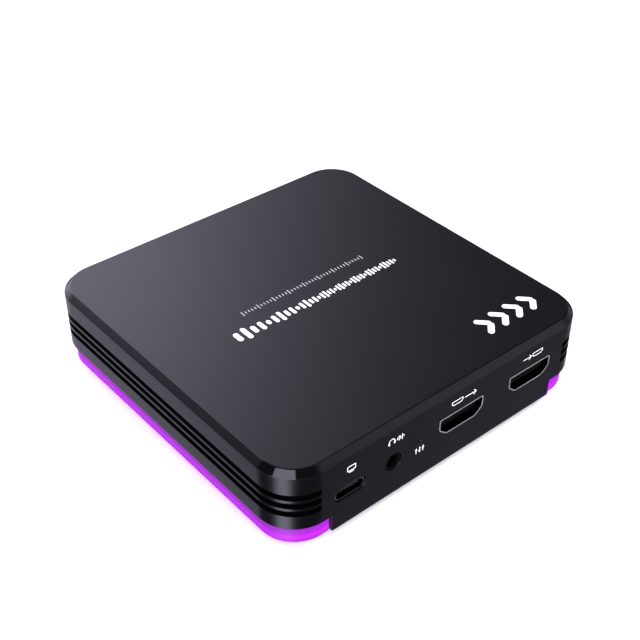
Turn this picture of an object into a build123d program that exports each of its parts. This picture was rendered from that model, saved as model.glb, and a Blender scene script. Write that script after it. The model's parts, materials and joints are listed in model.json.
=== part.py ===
from build123d import *
import os

# Frame: the box stands on z = 0, its sockets face -Y, and +X is to the right as they are faced.
# The origin is the centre of the footprint, on the surface that the feet stand on. Millimetres.

# Upper housing
body_width = 100.0
body_depth = 100.0
housing_height = 22.1
corner_radius = 10.6
top_chamfer = 1.6
wall = 2.4
top_wall = 2.2
lip_height = 4.85
skirt_side_inset = 13.0
inner_round = 0.8
cut_overrun = 1.0

# Three grooves that wrap round the walls and stop at the ends of the socket face
groove_count = 3
groove_pitch = 2.47
groove_height = 1.33
groove_depth = 1.2
groove_middle_height = 12.54
groove_end_inset = 10.7

# Screw bosses inside the upper housing, with webs to the walls, and ribs under the top
boss_radius = 2.7
boss_side_inset = 10.6
boss_end_inset = 15.6
boss_gap = 0.05
web_thickness = 1.2
web_height = 8.0
ceiling_rib_height = 1.5
ceiling_rib_thickness = 1.0
ceiling_rib_count = 4
ceiling_rib_span_share = 0.68
clamp_rib_width = 10.0
clamp_rib_thickness = 1.2
clamp_gap = 0.3

# Base tray
base_bottom = 0.8
flange_inset = 2.0
flange_thickness = 0.9
skirt_gap = 0.3
floor_thickness = 2.0
rim_thickness = 1.0
rim_height = 3.4
pad_radius = 4.2
pad_height = 1.8
post_radius = 2.6
vent_width = 1.8
vent_length = 20.0
vent_pitch = 4.2
vent_count = 9
vent_row_gap = 6.0
floor_rib_height = 1.5

# Light guide, printed light strip and its emitters
guide_inset = 1.0
guide_shoulder = 0.6
guide_fit = 0.1
guide_tongue_thickness = 1.1
guide_tongue_height = 1.5
guide_tongue_clearance = 0.25
guide_end_gap = 0.15
emitter_gap = 0.3
emitter_length = 2.4
emitter_thickness = 0.6
emitter_height = 1.6
emitter_pitch = 10.0
emitters_per_side = 7
emitter_solder = 0.03
strip_thickness = 0.3
strip_height = 3.4
strip_lift = 0.1
strip_gap = 0.1
tail_width = 8.0
tail_clearance = 0.4
tail_place = 10.0
connector_length = 10.0
connector_width = 4.5
connector_height = 1.6
connector_inset = 0.5
tail_engagement = 3.0
tail_fit = 0.05

# Rubber feet and case screws
foot_radius = 5.5
foot_thickness = 1.6
foot_fit = 0.1
foot_chamfer = 0.3
screw_head_radius = 2.3
screw_head_height = 1.35
screw_head_fit = 0.3
screw_shank_radius = 1.2
screw_shank_length = 9.0
screw_thread_gap = 0.05
screw_hole_fit = 0.25
pilot_spare = 1.0
slot_width = 0.6
slot_length = 2.8
slot_depth = 0.7

# Main board
board_height = 8.1
board_thickness = 1.6
board_front_gap = 0.7
board_rear_room = 20.0
board_boss_gap = 0.5
board_corner = 1.5
post_edge = 4.0
post_front_reach = 22.0
board_screw_head_radius = 1.9
board_screw_head_height = 1.2
board_screw_shank_radius = 0.95
board_screw_length = 5.0
board_hole_radius = 1.1

# Places of the sockets across the socket face, as shares of half the body's width
usb_place_share = -0.632
audio_place_share = -0.369
switch_place_share = -0.201
video_out_place_share = 0.0774
video_in_place_share = 0.5624

# Video sockets, sized on the centre line of the shell's metal
video_width = 14.6
video_height = 5.1
video_side = 3.16
video_notch = 2.33
video_corner = 0.5
video_metal = 0.45
video_length = 11.0
video_seat_gap = 0.62
video_cut_gap = 0.15
video_block_length = 3.5
video_block_fit = 0.03
video_tongue_room = 1.125
video_tongue_thickness = 1.7
video_tongue_recess = 1.2
video_leg_width = 1.8
video_leg_end = 1.5
video_top_contacts = 10
video_low_contacts = 9
video_contact_pitch = 1.0
video_contact_width = 0.4
video_contact_thickness = 0.12
video_contact_tip = 0.6

# USB type C socket
usb_width = 8.94
usb_height = 3.26
usb_metal = 0.3
usb_length = 9.2
usb_recess = 0.4
usb_seat_gap = 0.17
usb_cut_gap = 0.28
usb_block_length = 3.2
usb_block_fit = 0.03
usb_tongue_width = 6.69
usb_tongue_thickness = 0.7
usb_tongue_recess = 0.7
usb_leg_width = 1.2
usb_leg_end = 1.2
usb_contacts_per_face = 12
usb_contact_pitch = 0.5
usb_contact_width = 0.25
usb_contact_thickness = 0.08
usb_contact_tip = 0.6

# Audio jack for a 3.5 mm plug
jack_bore_radius = 1.8
jack_bore_depth = 14.0
jack_bush_radius = 2.85
jack_body_width = 6.5
jack_body_height = 4.5
jack_end_wall = 0.5
jack_face_recess = 0.1
jack_wall_gap = 0.2
jack_hole_fit = 0.1
jack_contact_width = 1.4
jack_contact_thickness = 0.3
jack_groove_depth = 0.5
jack_contact_fit = 0.05
jack_contact_share = (0.2, 0.5, 0.8)

# Push switch behind the pin hole
pin_hole_radius = 0.55
switch_size = 6.6
switch_depth = 3.8
switch_floor = 1.25
switch_seat_gap = 0.56
switch_cover_thickness = 0.3
plunger_radius = 1.7
plunger_proud = 1.3
plunger_wall_gap = 0.7
plunger_fit = 0.05
plunger_flange_radius = 2.2
plunger_flange_thickness = 0.8
plunger_flange_fit = 0.1
plunger_tip_radius = 0.8
plunger_travel = 0.25
plunger_spare = 0.1
dome_thickness = 0.1
dome_fit = 0.3
switch_leg_width = 0.8
switch_leg_thickness = 0.5

# Chips and small parts on the board. Places are clearances to a neighbour, or shares of half the
# board's width and length.
processor_size = 17.0
processor_height = 1.5
processor_place_share = (0.0, 0.064)
thermal_pad_size = 16.0
thermal_pad_thickness = 0.8
sink_size = 30.0
sink_base = 2.0
sink_fin_count = 9
sink_fin_thickness = 1.2
sink_room = 2.1
sink_side_gap = 1.5
socket_back_gap = 1.0
receiver_size = 9.0
receiver_height = 1.2
receiver_place_share = 0.663
splitter_size = 8.0
splitter_height = 1.0
bridge_size = 7.0
bridge_height = 0.9
bridge_place_share = -0.718
audio_chip_size = 5.0
audio_chip_height = 0.9
audio_chip_place_share = -0.442
memory_width = 8.0
memory_length = 12.0
memory_height = 1.0
memory_count = 2
memory_gap = 2.0
flash_width = 6.0
flash_length = 5.0
flash_height = 1.75
flash_place_share = (0.55, 0.688)
inductor_size = 5.0
inductor_height = 3.0
inductor_corner = 0.8
inductor_count = 3
inductor_gap = 4.0
capacitor_radius = 2.5
capacitor_height = 5.5
capacitor_foot = 5.4
capacitor_foot_height = 0.6
capacitor_place_shares = ((-0.77, 0.688), (-0.55, 0.688), (-0.33, 0.688))
crystal_width = 3.2
crystal_length = 2.5
crystal_height = 0.8
crystal_place_shares = ((0.276, 0.636), (0.4, -0.638))
ceramic_width = 0.8
ceramic_length = 1.6
ceramic_height = 0.8
ceramic_pitch = 3.6
ceramic_count = 7
ceramic_row_share = 0.55

# Heights worked out from the sizes above
flange_top = base_bottom + flange_thickness
skirt_bottom = flange_top + skirt_gap
top_z = skirt_bottom + housing_height
lip_z = skirt_bottom + lip_height
ceiling = top_z - top_wall
floor_top = base_bottom + floor_thickness
pad_top = floor_top + pad_height
boss_bottom = pad_top + boss_gap
foot_recess_top = foot_thickness
screw_seat = foot_recess_top + screw_head_height + boss_gap
board_top = skirt_bottom + board_height
board_bottom = board_top - board_thickness

# Places worked out from the sizes above
half_width = body_width / 2
half_depth = body_depth / 2
face_y = -half_depth
wall_back = face_y + wall
skirt_half_width = half_width - skirt_side_inset
groove_end = half_width - groove_end_inset
guide_end = skirt_half_width + guide_end_gap
guide_back_inset = wall + guide_shoulder
strip_inset = guide_back_inset + emitter_gap + emitter_thickness + emitter_solder
rim_inset = strip_inset + strip_thickness + strip_gap
boss_x = half_width - boss_side_inset
boss_y = half_depth - boss_end_inset
boss_places = [(x, y) for x in (-boss_x, boss_x) for y in (-boss_y, boss_y)]
board_half_width = boss_x - boss_radius - board_boss_gap
board_front = wall_back + board_front_gap
board_back = half_depth - board_rear_room
board_middle = (board_front + board_back) / 2
board_half_length = (board_back - board_front) / 2
post_x = board_half_width - post_edge
post_ys = (board_front + post_front_reach, board_back - post_edge)
post_places = [(x, y) for x in (-post_x, post_x) for y in post_ys]

# Socket places and heights
usb_x = usb_place_share * half_width
audio_x = audio_place_share * half_width
switch_x = switch_place_share * half_width
video_out_x = video_out_place_share * half_width
video_in_x = video_in_place_share * half_width
video_z = board_top + video_seat_gap + (video_height + video_metal) / 2
usb_z = board_top + usb_seat_gap + usb_height / 2
audio_z = board_top + jack_body_height / 2
switch_z = board_top + switch_seat_gap + switch_size / 2
video_back = face_y + video_length
video_block_front = video_back - video_block_length
video_tongue_front = face_y + video_tongue_recess
usb_front = face_y + usb_recess
usb_back = usb_front + usb_length
usb_block_front = usb_back - usb_block_length
usb_tongue_front = usb_front + usb_tongue_recess
jack_front = face_y + jack_face_recess
jack_back = jack_front + jack_bore_depth + jack_end_wall
jack_body_front = wall_back + jack_wall_gap
plunger_front = wall_back + plunger_wall_gap
switch_front = plunger_front + plunger_proud
switch_back = switch_front + switch_depth
flange_front = switch_front + switch_cover_thickness + plunger_fit
flange_back = flange_front + plunger_flange_thickness
dome_front = switch_back - switch_floor - dome_thickness
tip_back = dome_front - plunger_travel - plunger_spare
switch_cavity_radius = plunger_flange_radius + plunger_flange_fit


def block(low, high):
    """A box from its lowest to its highest corner."""
    size = [b - a for a, b in zip(low, high)]
    middle = [(a + b) / 2 for a, b in zip(low, high)]
    return Pos(*middle) * Box(*size)


def outline(inset):
    """The footprint's rounded rectangle, moved inwards by inset."""
    return RectangleRounded(body_width - 2 * inset, body_depth - 2 * inset, corner_radius - inset)


def slab(inset, low, high):
    """A plate with the footprint's outline."""
    return Pos(0, 0, low) * extrude(outline(inset), high - low)


def ring(outer_inset, inner_inset, low, high):
    """A wall that follows the footprint's outline."""
    return Pos(0, 0, low) * extrude(outline(outer_inset) - outline(inner_inset), high - low)


def post(place, radius, low, high):
    """An upright cylinder."""
    return Pos(place[0], place[1], low) * extrude(Circle(radius), high - low)


def towards_face(profile, x, z, front, back):
    """A profile as seen from the socket side, drawn out from back to front along Y."""
    plane = Plane(origin=(x, back, z), x_dir=(1, 0, 0), z_dir=(0, -1, 0))
    return extrude(plane * profile, back - front)


def all_of(pieces):
    """Separate solids that share one node."""
    return Compound(children=list(pieces))


def socket_side(half_span, low, high):
    """The space in front of the box's middle, as wide as the stretch that a wrapped piece leaves out."""
    return block((-half_span, -half_depth - cut_overrun, low), (half_span, 0, high))


def video_profile(growth):
    """A video socket's six-sided outline, on the metal's centre line plus growth."""
    half = video_width / 2
    top = video_height / 2
    points = [
        (-half, top),
        (-half, top - video_side),
        (video_notch - half, -top),
        (half - video_notch, -top),
        (half, top - video_side),
        (half, top),
    ]
    shape = fillet(Polygon(*points, align=None).vertices(), video_corner)
    return offset(shape, growth) if growth else shape


def usb_profile(growth):
    """The type C socket's long round outline, on the shell's outside plus growth."""
    return SlotOverall(usb_width + 2 * growth, usb_height + 2 * growth)


def groove_cutters():
    cutters = []
    for number in range(groove_count):
        step = number - (groove_count - 1) / 2
        middle = skirt_bottom + groove_middle_height + step * groove_pitch
        low = middle - groove_height / 2
        high = middle + groove_height / 2
        band = ring(-cut_overrun, groove_depth, low, high)
        cutters.append(band - socket_side(groove_end, low, high))
    return cutters


def socket_cutters():
    """The openings that the sockets look out of."""
    outer = face_y - cut_overrun
    inner = wall_back + cut_overrun
    video_hole = video_profile(video_metal / 2 + video_cut_gap)
    return [
        towards_face(video_hole, video_in_x, video_z, outer, inner),
        towards_face(video_hole, video_out_x, video_z, outer, inner),
        towards_face(usb_profile(usb_cut_gap), usb_x, usb_z, outer, inner),
        towards_face(Circle(jack_bush_radius + jack_hole_fit), audio_x, audio_z, outer, inner),
        towards_face(Circle(pin_hole_radius), switch_x, switch_z, outer, inner),
    ]


def ceiling_ribs():
    """A grid of ribs under the top, and a short rib that holds each video socket down."""
    low = ceiling - ceiling_rib_height
    high = ceiling + top_wall / 2
    reach_x = half_width * ceiling_rib_span_share
    reach_y = half_depth * ceiling_rib_span_share
    half_rib = ceiling_rib_thickness / 2
    ribs = []
    for number in range(ceiling_rib_count):
        share = 2 * number / (ceiling_rib_count - 1) - 1
        x = share * (reach_x - half_rib)
        y = share * (reach_y - half_rib)
        ribs.append(block((x - half_rib, -reach_y, low), (x + half_rib, reach_y, high)))
        ribs.append(block((-reach_x, y - half_rib, low), (reach_x, y + half_rib, high)))
    clamp_low = video_z + (video_height + video_metal) / 2 + clamp_gap
    clamp_y = face_y + video_length / 2
    for x in (video_in_x, video_out_x):
        near = (x - clamp_rib_width / 2, clamp_y - clamp_rib_thickness / 2, clamp_low)
        far = (x + clamp_rib_width / 2, clamp_y + clamp_rib_thickness / 2, high)
        ribs.append(block(near, far))
    return ribs


def bosses():
    """Screw bosses at the corners, each with a web to the side wall."""
    solids = []
    web_low = ceiling - web_height
    high = ceiling + top_wall / 2
    for x, y in boss_places:
        side = 1 if x > 0 else -1
        wall_x = side * (half_width - wall / 2)
        solids.append(post((x, y), boss_radius, boss_bottom, high))
        near = (min(x, wall_x), y - web_thickness / 2, web_low)
        far = (max(x, wall_x), y + web_thickness / 2, high)
        solids.append(block(near, far))
    return solids


def make_upper_housing():
    """One moulding: top, walls with wrapped grooves and sockets' openings, skirt, bosses and ribs."""
    shell = slab(0, lip_z, top_z)
    shell = chamfer(shell.faces().sort_by(Axis.Z)[-1].outer_wire().edges(), top_chamfer)
    cavity = slab(wall, lip_z - cut_overrun, ceiling)
    shell -= fillet(cavity.faces().sort_by(Axis.Z)[-1].edges(), inner_round)
    skirt_top = lip_z + wall
    shell += block((-skirt_half_width, face_y, skirt_bottom), (skirt_half_width, wall_back, skirt_top))
    shell += bosses() + ceiling_ribs()
    pilot_radius = screw_shank_radius + screw_thread_gap
    pilot_top = screw_seat + screw_shank_length + pilot_spare
    pilots = [post(place, pilot_radius, boss_bottom - cut_overrun, pilot_top) for place in boss_places]
    return shell - (groove_cutters() + socket_cutters() + pilots)


def vent_slots():
    slots = []
    low = base_bottom - cut_overrun
    cut_height = floor_thickness + 2 * cut_overrun
    for row in (-1, 1):
        y = row * (vent_length + vent_row_gap) / 2
        for number in range(vent_count):
            x = (number - (vent_count - 1) / 2) * vent_pitch
            shape = Rot(0, 0, 90) * SlotOverall(vent_length, vent_width)
            slots.append(Pos(x, y, low) * extrude(shape, cut_height))
    return slots


def make_base():
    """Bottom tray: flange under the light guide, floor, rim, vents, screw pads and board posts."""
    tray = slab(flange_inset, base_bottom, flange_top)
    tray += slab(guide_back_inset + guide_fit, base_bottom, floor_top)
    tray += ring(rim_inset, rim_inset + rim_thickness, floor_top, floor_top + rim_height)
    tray += [post(place, pad_radius, floor_top, pad_top) for place in boss_places]
    tray += [post(place, post_radius, floor_top, board_bottom) for place in post_places]
    rib_reach = half_width - rim_inset
    half_rib = rim_thickness / 2
    tray += block((-rib_reach, -half_rib, floor_top), (rib_reach, half_rib, floor_top + floor_rib_height))
    notch_half = tail_width / 2 + tail_clearance
    notch_x = -half_width + rim_inset
    notch_low = (notch_x - strip_gap, tail_place - notch_half, floor_top + rim_height / 2)
    notch_high = (notch_x + rim_thickness + strip_gap, tail_place + notch_half, board_bottom)
    cutters = [block(notch_low, notch_high)]
    for place in boss_places:
        cutters.append(post(place, foot_radius + foot_fit, base_bottom - cut_overrun, foot_recess_top))
        cutters.append(post(place, screw_head_radius + screw_head_fit, base_bottom, screw_seat))
        cutters.append(post(place, screw_shank_radius + screw_hole_fit, base_bottom, pad_top + cut_overrun))
    for place in post_places:
        cutters.append(post(place, board_screw_shank_radius + screw_thread_gap,
                            floor_top, board_bottom + cut_overrun))
    return tray - (cutters + vent_slots())


def strip_levels():
    """The light strip's lower and upper edge."""
    low = floor_top + strip_lift
    return low, low + strip_height


def make_light_guide():
    """Translucent band below the walls, open behind the skirt, with a tongue inside the walls."""
    band_top = lip_z - guide_fit
    tongue_inset = wall + guide_fit
    strip_low, strip_high = strip_levels()
    tongue_low = (strip_low + strip_high + emitter_height) / 2 + guide_tongue_clearance
    band = ring(guide_inset, guide_back_inset, flange_top, band_top)
    band += ring(tongue_inset, tongue_inset + guide_tongue_thickness,
                 tongue_low, lip_z + guide_tongue_height)
    return band - socket_side(guide_end, flange_top - cut_overrun, ceiling)


def make_light_strip():
    """Flexible printed strip behind the guide, with a tail that reaches the board's connector."""
    low, high = strip_levels()
    strip = ring(strip_inset, strip_inset + strip_thickness, low, high)
    strip -= socket_side(guide_end, low - cut_overrun, high + cut_overrun)
    tail_z = board_bottom - connector_height / 2
    half_tail = tail_width / 2
    half_thick = strip_thickness / 2
    outer_x = -half_width + strip_inset
    inner_x = -board_half_width + connector_inset + tail_engagement
    strip += block((outer_x, tail_place - half_tail, high - strip_height / 2),
                   (outer_x + strip_thickness, tail_place + half_tail, tail_z + half_thick))
    strip += block((outer_x, tail_place - half_tail, tail_z - half_thick),
                   (inner_x, tail_place + half_tail, tail_z + half_thick))
    return strip


def make_light_emitters():
    """Light emitters soldered to the strip, facing the guide: three rows and one at each corner."""
    low, high = strip_levels()
    middle = (low + high) / 2
    size = (emitter_thickness, emitter_length, emitter_height)
    depth = strip_inset - emitter_solder - emitter_thickness / 2
    emitters = []
    for number in range(emitters_per_side):
        along = (number - (emitters_per_side - 1) / 2) * emitter_pitch
        emitters.append(Pos(-half_width + depth, along, middle) * Box(*size))
        emitters.append(Pos(half_width - depth, along, middle) * Box(*size))
        emitters.append(Pos(along, half_depth - depth, middle) * Rot(0, 0, 90) * Box(*size))
    corner_x = half_width - corner_radius
    corner_y = half_depth - corner_radius
    for side in (-1, 1):
        for end in (-1, 1):
            turn = Rot(0, 0, end * side * 45)
            place = Pos(side * corner_x, end * corner_y, middle)
            emitters.append(place * turn * Pos(side * (corner_radius - depth), 0, 0) * Box(*size))
    return all_of(emitters)


def make_light_connector():
    """Flat connector under the board that takes the strip's tail."""
    x = -board_half_width + connector_inset
    half_long = connector_length / 2
    body = block((x, tail_place - half_long, board_bottom - connector_height),
                 (x + connector_width, tail_place + half_long, board_bottom))
    tail_z = board_bottom - connector_height / 2
    half_slot = strip_thickness / 2 + tail_fit
    half_tail = tail_width / 2 + tail_fit
    slot = block((x - cut_overrun, tail_place - half_tail, tail_z - half_slot),
                 (x + tail_engagement + tail_fit, tail_place + half_tail, tail_z + half_slot))
    return body - slot


def make_rubber_feet():
    feet = []
    for place in boss_places:
        foot = post(place, foot_radius, 0, foot_thickness)
        feet.append(chamfer(foot.faces().sort_by(Axis.Z)[0].edges(), foot_chamfer))
    return all_of(feet)


def make_case_screws():
    screws = []
    head_low = screw_seat - screw_head_height
    for x, y in boss_places:
        screw = post((x, y), screw_head_radius, head_low, screw_seat)
        screw += post((x, y), screw_shank_radius, screw_seat, screw_seat + screw_shank_length)
        deep = head_low + slot_depth
        low = head_low - cut_overrun
        half_long = slot_length / 2
        half_slot = slot_width / 2
        screw -= block((x - half_long, y - half_slot, low), (x + half_long, y + half_slot, deep))
        screw -= block((x - half_slot, y - half_long, low), (x + half_slot, y + half_long, deep))
        screws.append(screw)
    return all_of(screws)


def make_main_board():
    plate = RectangleRounded(2 * board_half_width, 2 * board_half_length, board_corner)
    board = Pos(0, board_middle, board_bottom) * extrude(plate, board_thickness)
    low = board_bottom - cut_overrun
    return board - [post(place, board_hole_radius, low, board_top + cut_overrun) for place in post_places]


def make_board_screws():
    screws = []
    for place in post_places:
        screw = post(place, board_screw_head_radius, board_top, board_top + board_screw_head_height)
        screw += post(place, board_screw_shank_radius, board_top - board_screw_length, board_top)
        screws.append(screw)
    return all_of(screws)


def make_video_shell(x):
    """Folded metal shell with four legs that stand on the board."""
    profile = video_profile(video_metal / 2) - video_profile(-video_metal / 2)
    shell = towards_face(profile, x, video_z, face_y, video_back)
    half = (video_width + video_metal) / 2
    leg_top = video_z + video_height / 2 - video_side / 2
    leg_starts = (wall_back + video_leg_end, video_back - video_leg_end - video_leg_width)
    for y in leg_starts:
        for near in (x - half, x + half - video_metal):
            shell += block((near, y, board_top), (near + video_metal, y + video_leg_width, leg_top))
    return shell


def make_video_insulator(x):
    """Moulded block at the shell's back, with the tongue that carries the contacts."""
    block_profile = video_profile(-video_metal / 2 - video_block_fit)
    body = towards_face(block_profile, x, video_z, video_block_front, video_back)
    half = (video_width - video_metal) / 2 - video_tongue_room
    thick = video_tongue_thickness / 2
    body += block((x - half, video_tongue_front, video_z - thick),
                  (x + half, video_block_front, video_z + thick))
    return body


def contact_row(x, z, count, pitch, width, thickness, front, back, side):
    """Flat contacts on one face of a tongue; side is +1 above it and -1 below."""
    low = z if side > 0 else z - thickness
    row = []
    for number in range(count):
        middle = x + (number - (count - 1) / 2) * pitch
        near = (middle - width / 2, front, low)
        far = (middle + width / 2, back, low + thickness)
        row.append(block(near, far))
    return row


def make_video_contacts(x):
    front = video_tongue_front + video_contact_tip
    common = (video_contact_pitch, video_contact_width, video_contact_thickness, front, video_block_front)
    half = video_tongue_thickness / 2
    upper = contact_row(x, video_z + half, video_top_contacts, *common, 1)
    lower = contact_row(x, video_z - half, video_low_contacts, *common, -1)
    return all_of(upper + lower)


def make_usb_shell():
    """Drawn metal shell with four legs that stand on the board."""
    profile = usb_profile(0) - usb_profile(-usb_metal)
    shell = towards_face(profile, usb_x, usb_z, usb_front, usb_back)
    half = usb_width / 2
    for y in (wall_back + usb_leg_end, usb_back - usb_leg_end - usb_leg_width):
        for near in (usb_x - half, usb_x + half - usb_metal):
            shell += block((near, y, board_top), (near + usb_metal, y + usb_leg_width, usb_z))
    return shell


def make_usb_tongue():
    block_profile = usb_profile(-usb_metal - usb_block_fit)
    body = towards_face(block_profile, usb_x, usb_z, usb_block_front, usb_back)
    half = usb_tongue_width / 2
    thick = usb_tongue_thickness / 2
    body += block((usb_x - half, usb_tongue_front, usb_z - thick),
                  (usb_x + half, usb_block_front, usb_z + thick))
    return body


def make_usb_contacts():
    front = usb_tongue_front + usb_contact_tip
    common = (usb_contacts_per_face, usb_contact_pitch, usb_contact_width, usb_contact_thickness,
              front, usb_block_front)
    half = usb_tongue_thickness / 2
    upper = contact_row(usb_x, usb_z + half, *common, 1)
    lower = contact_row(usb_x, usb_z - half, *common, -1)
    return all_of(upper + lower)


def jack_contact_places():
    """Each contact's middle along the jack's body and its side, left or right in turn."""
    length = jack_back - jack_body_front
    return [(jack_body_front + share * length, -1 if number % 2 else 1)
            for number, share in enumerate(jack_contact_share)]


def make_jack_body():
    """Moulded jack: a round bush that looks out of the housing and a body with one straight bore."""
    half = jack_body_width / 2
    body = block((audio_x - half, jack_body_front, board_top),
                 (audio_x + half, jack_back, board_top + jack_body_height))
    body += towards_face(Circle(jack_bush_radius), audio_x, audio_z, jack_front, jack_body_front)
    body -= towards_face(Circle(jack_bore_radius), audio_x, audio_z,
                         jack_front - cut_overrun, jack_front + jack_bore_depth)
    groove_half = jack_contact_width / 2 + jack_contact_fit
    for y, side in jack_contact_places():
        outer = audio_x + side * (half + cut_overrun)
        inner = audio_x + side * (half - jack_groove_depth)
        body -= block((min(outer, inner), y - groove_half, board_top - cut_overrun),
                      (max(outer, inner), y + groove_half, board_top + jack_body_height + cut_overrun))
    return body


def make_jack_contacts():
    contacts = []
    half = jack_body_width / 2
    for y, side in jack_contact_places():
        inner = audio_x + side * (half - jack_groove_depth)
        outer = inner + side * jack_contact_thickness
        contacts.append(block((min(inner, outer), y - jack_contact_width / 2, board_top),
                              (max(inner, outer), y + jack_contact_width / 2, audio_z + jack_bore_radius)))
    return all_of(contacts)


def make_switch_body():
    """Moulded switch case, open to the front, on two legs."""
    half = switch_size / 2
    case_front = switch_front + switch_cover_thickness
    body = block((switch_x - half, case_front, switch_z - half),
                 (switch_x + half, switch_back, switch_z + half))
    for side in (-1, 1):
        leg_x = switch_x + side * (half - switch_leg_width / 2)
        body += block((leg_x - switch_leg_width / 2, case_front, board_top),
                      (leg_x + switch_leg_width / 2, case_front + switch_leg_thickness, switch_z))
    cavity = Circle(switch_cavity_radius)
    cavity_back = dome_front + dome_thickness
    return body - towards_face(cavity, switch_x, switch_z, case_front - cut_overrun, cavity_back)


def make_switch_cover():
    half = switch_size / 2
    plate = block((switch_x - half, switch_front, switch_z - half),
                  (switch_x + half, switch_front + switch_cover_thickness, switch_z + half))
    hole = Circle(plunger_radius + plunger_fit)
    back = switch_front + switch_cover_thickness + cut_overrun
    return plate - towards_face(hole, switch_x, switch_z, switch_front - cut_overrun, back)


def make_switch_dome():
    """Snap disc at the bottom of the switch case."""
    disc = Circle(switch_cavity_radius - dome_fit)
    return towards_face(disc, switch_x, switch_z, dome_front, dome_front + dome_thickness)


def make_switch_plunger():
    """Push plunger: its stem comes through the cover, its flange stays behind, its tip meets the disc."""
    stem = towards_face(Circle(plunger_radius), switch_x, switch_z, plunger_front, flange_front)
    stem += towards_face(Circle(plunger_flange_radius), switch_x, switch_z, flange_front, flange_back)
    return stem + towards_face(Circle(plunger_tip_radius), switch_x, switch_z, flange_back, tip_back)


def board_place(share):
    return share[0] * board_half_width, board_middle + share[1] * board_half_length


def behind_socket(share, socket_back, length):
    """The middle of a chip that starts just behind a socket; the share sets its place across the board."""
    return share * board_half_width, socket_back + socket_back_gap + length / 2


def beside_sink(side, width, length, gap, count):
    """The middles of a column of packages beside the heat sink; side is -1 left and +1 right."""
    sink_x, sink_y = board_place(processor_place_share)
    x = sink_x + side * (sink_size / 2 + sink_side_gap + width / 2)
    return [(x, sink_y + (number - (count - 1) / 2) * (length + gap)) for number in range(count)]


def chip(place, width, length, height):
    """A flat package on the board."""
    x, y = place
    near = (x - width / 2, y - length / 2, board_top)
    far = (x + width / 2, y + length / 2, board_top + height)
    return block(near, far)


def make_processor():
    place = board_place(processor_place_share)
    return chip(place, processor_size, processor_size, processor_height)


def make_receiver_chip():
    place = behind_socket(receiver_place_share, video_back, receiver_size)
    return chip(place, receiver_size, receiver_size, receiver_height)


def make_splitter_chip():
    place = (video_out_x, video_back + socket_back_gap + splitter_size / 2)
    return chip(place, splitter_size, splitter_size, splitter_height)


def make_bridge_chip():
    place = behind_socket(bridge_place_share, jack_back, bridge_size)
    return chip(place, bridge_size, bridge_size, bridge_height)


def make_audio_chip():
    place = behind_socket(audio_chip_place_share, jack_back, audio_chip_size)
    return chip(place, audio_chip_size, audio_chip_size, audio_chip_height)


def make_memory_chips():
    places = beside_sink(1, memory_width, memory_length, memory_gap, memory_count)
    return all_of(chip(place, memory_width, memory_length, memory_height) for place in places)


def make_flash_chip():
    return chip(board_place(flash_place_share), flash_width, flash_length, flash_height)


def make_crystals():
    places = [board_place(share) for share in crystal_place_shares]
    return all_of(chip(place, crystal_width, crystal_length, crystal_height) for place in places)


def make_thermal_pad():
    x, y = board_place(processor_place_share)
    low = board_top + processor_height
    half = thermal_pad_size / 2
    return block((x - half, y - half, low), (x + half, y + half, low + thermal_pad_thickness))


def make_heat_sink():
    """Base plate with upright fins, in front-to-back rows."""
    x, y = board_place(processor_place_share)
    low = board_top + processor_height + thermal_pad_thickness
    half = sink_size / 2
    sink = block((x - half, y - half, low), (x + half, y + half, low + sink_base))
    span = sink_size - sink_fin_thickness
    for number in range(sink_fin_count):
        left = x - half + number * span / (sink_fin_count - 1)
        sink += block((left, y - half, low), (left + sink_fin_thickness, y + half, ceiling - sink_room))
    return sink


def make_inductors():
    coils = []
    for place in beside_sink(-1, inductor_size, inductor_size, inductor_gap, inductor_count):
        coil = chip(place, inductor_size, inductor_size, inductor_height)
        coils.append(fillet(coil.edges().filter_by(Axis.Z), inductor_corner))
    return all_of(coils)


def make_capacitors():
    """Aluminium cans on square feet."""
    cans = []
    for share in capacitor_place_shares:
        place = board_place(share)
        can = chip(place, capacitor_foot, capacitor_foot, capacitor_foot_height)
        cans.append(can + post(place, capacitor_radius, board_top, board_top + capacitor_height))
    return all_of(cans)


def make_ceramic_capacitors():
    middle_x, y = board_place((0, ceramic_row_share))
    pieces = []
    for number in range(ceramic_count):
        x = middle_x + (number - (ceramic_count - 1) / 2) * ceramic_pitch
        pieces.append(chip((x, y), ceramic_width, ceramic_length, ceramic_height))
    return all_of(pieces)


nodes = {
    "upper_housing": make_upper_housing(),
    "base": make_base(),
    "light_guide": make_light_guide(),
    "light_strip": make_light_strip(),
    "light_emitters": make_light_emitters(),
    "light_connector": make_light_connector(),
    "rubber_feet": make_rubber_feet(),
    "case_screws": make_case_screws(),
    "main_board": make_main_board(),
    "board_screws": make_board_screws(),
    "video_in_shell": make_video_shell(video_in_x),
    "video_in_insulator": make_video_insulator(video_in_x),
    "video_in_contacts": make_video_contacts(video_in_x),
    "video_out_shell": make_video_shell(video_out_x),
    "video_out_insulator": make_video_insulator(video_out_x),
    "video_out_contacts": make_video_contacts(video_out_x),
    "usb_c_shell": make_usb_shell(),
    "usb_c_tongue": make_usb_tongue(),
    "usb_c_contacts": make_usb_contacts(),
    "audio_jack_body": make_jack_body(),
    "audio_jack_contacts": make_jack_contacts(),
    "mix_switch_body": make_switch_body(),
    "mix_switch_cover": make_switch_cover(),
    "mix_switch_dome": make_switch_dome(),
    "mix_switch_plunger": make_switch_plunger(),
    "capture_processor": make_processor(),
    "thermal_pad": make_thermal_pad(),
    "heat_sink": make_heat_sink(),
    "video_receiver_chip": make_receiver_chip(),
    "video_splitter_chip": make_splitter_chip(),
    "usb_bridge_chip": make_bridge_chip(),
    "audio_chip": make_audio_chip(),
    "memory_chips": make_memory_chips(),
    "flash_chip": make_flash_chip(),
    "power_inductors": make_inductors(),
    "power_capacitors": make_capacitors(),
    "clock_crystals": make_crystals(),
    "ceramic_capacitors": make_ceramic_capacitors(),
}

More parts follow.
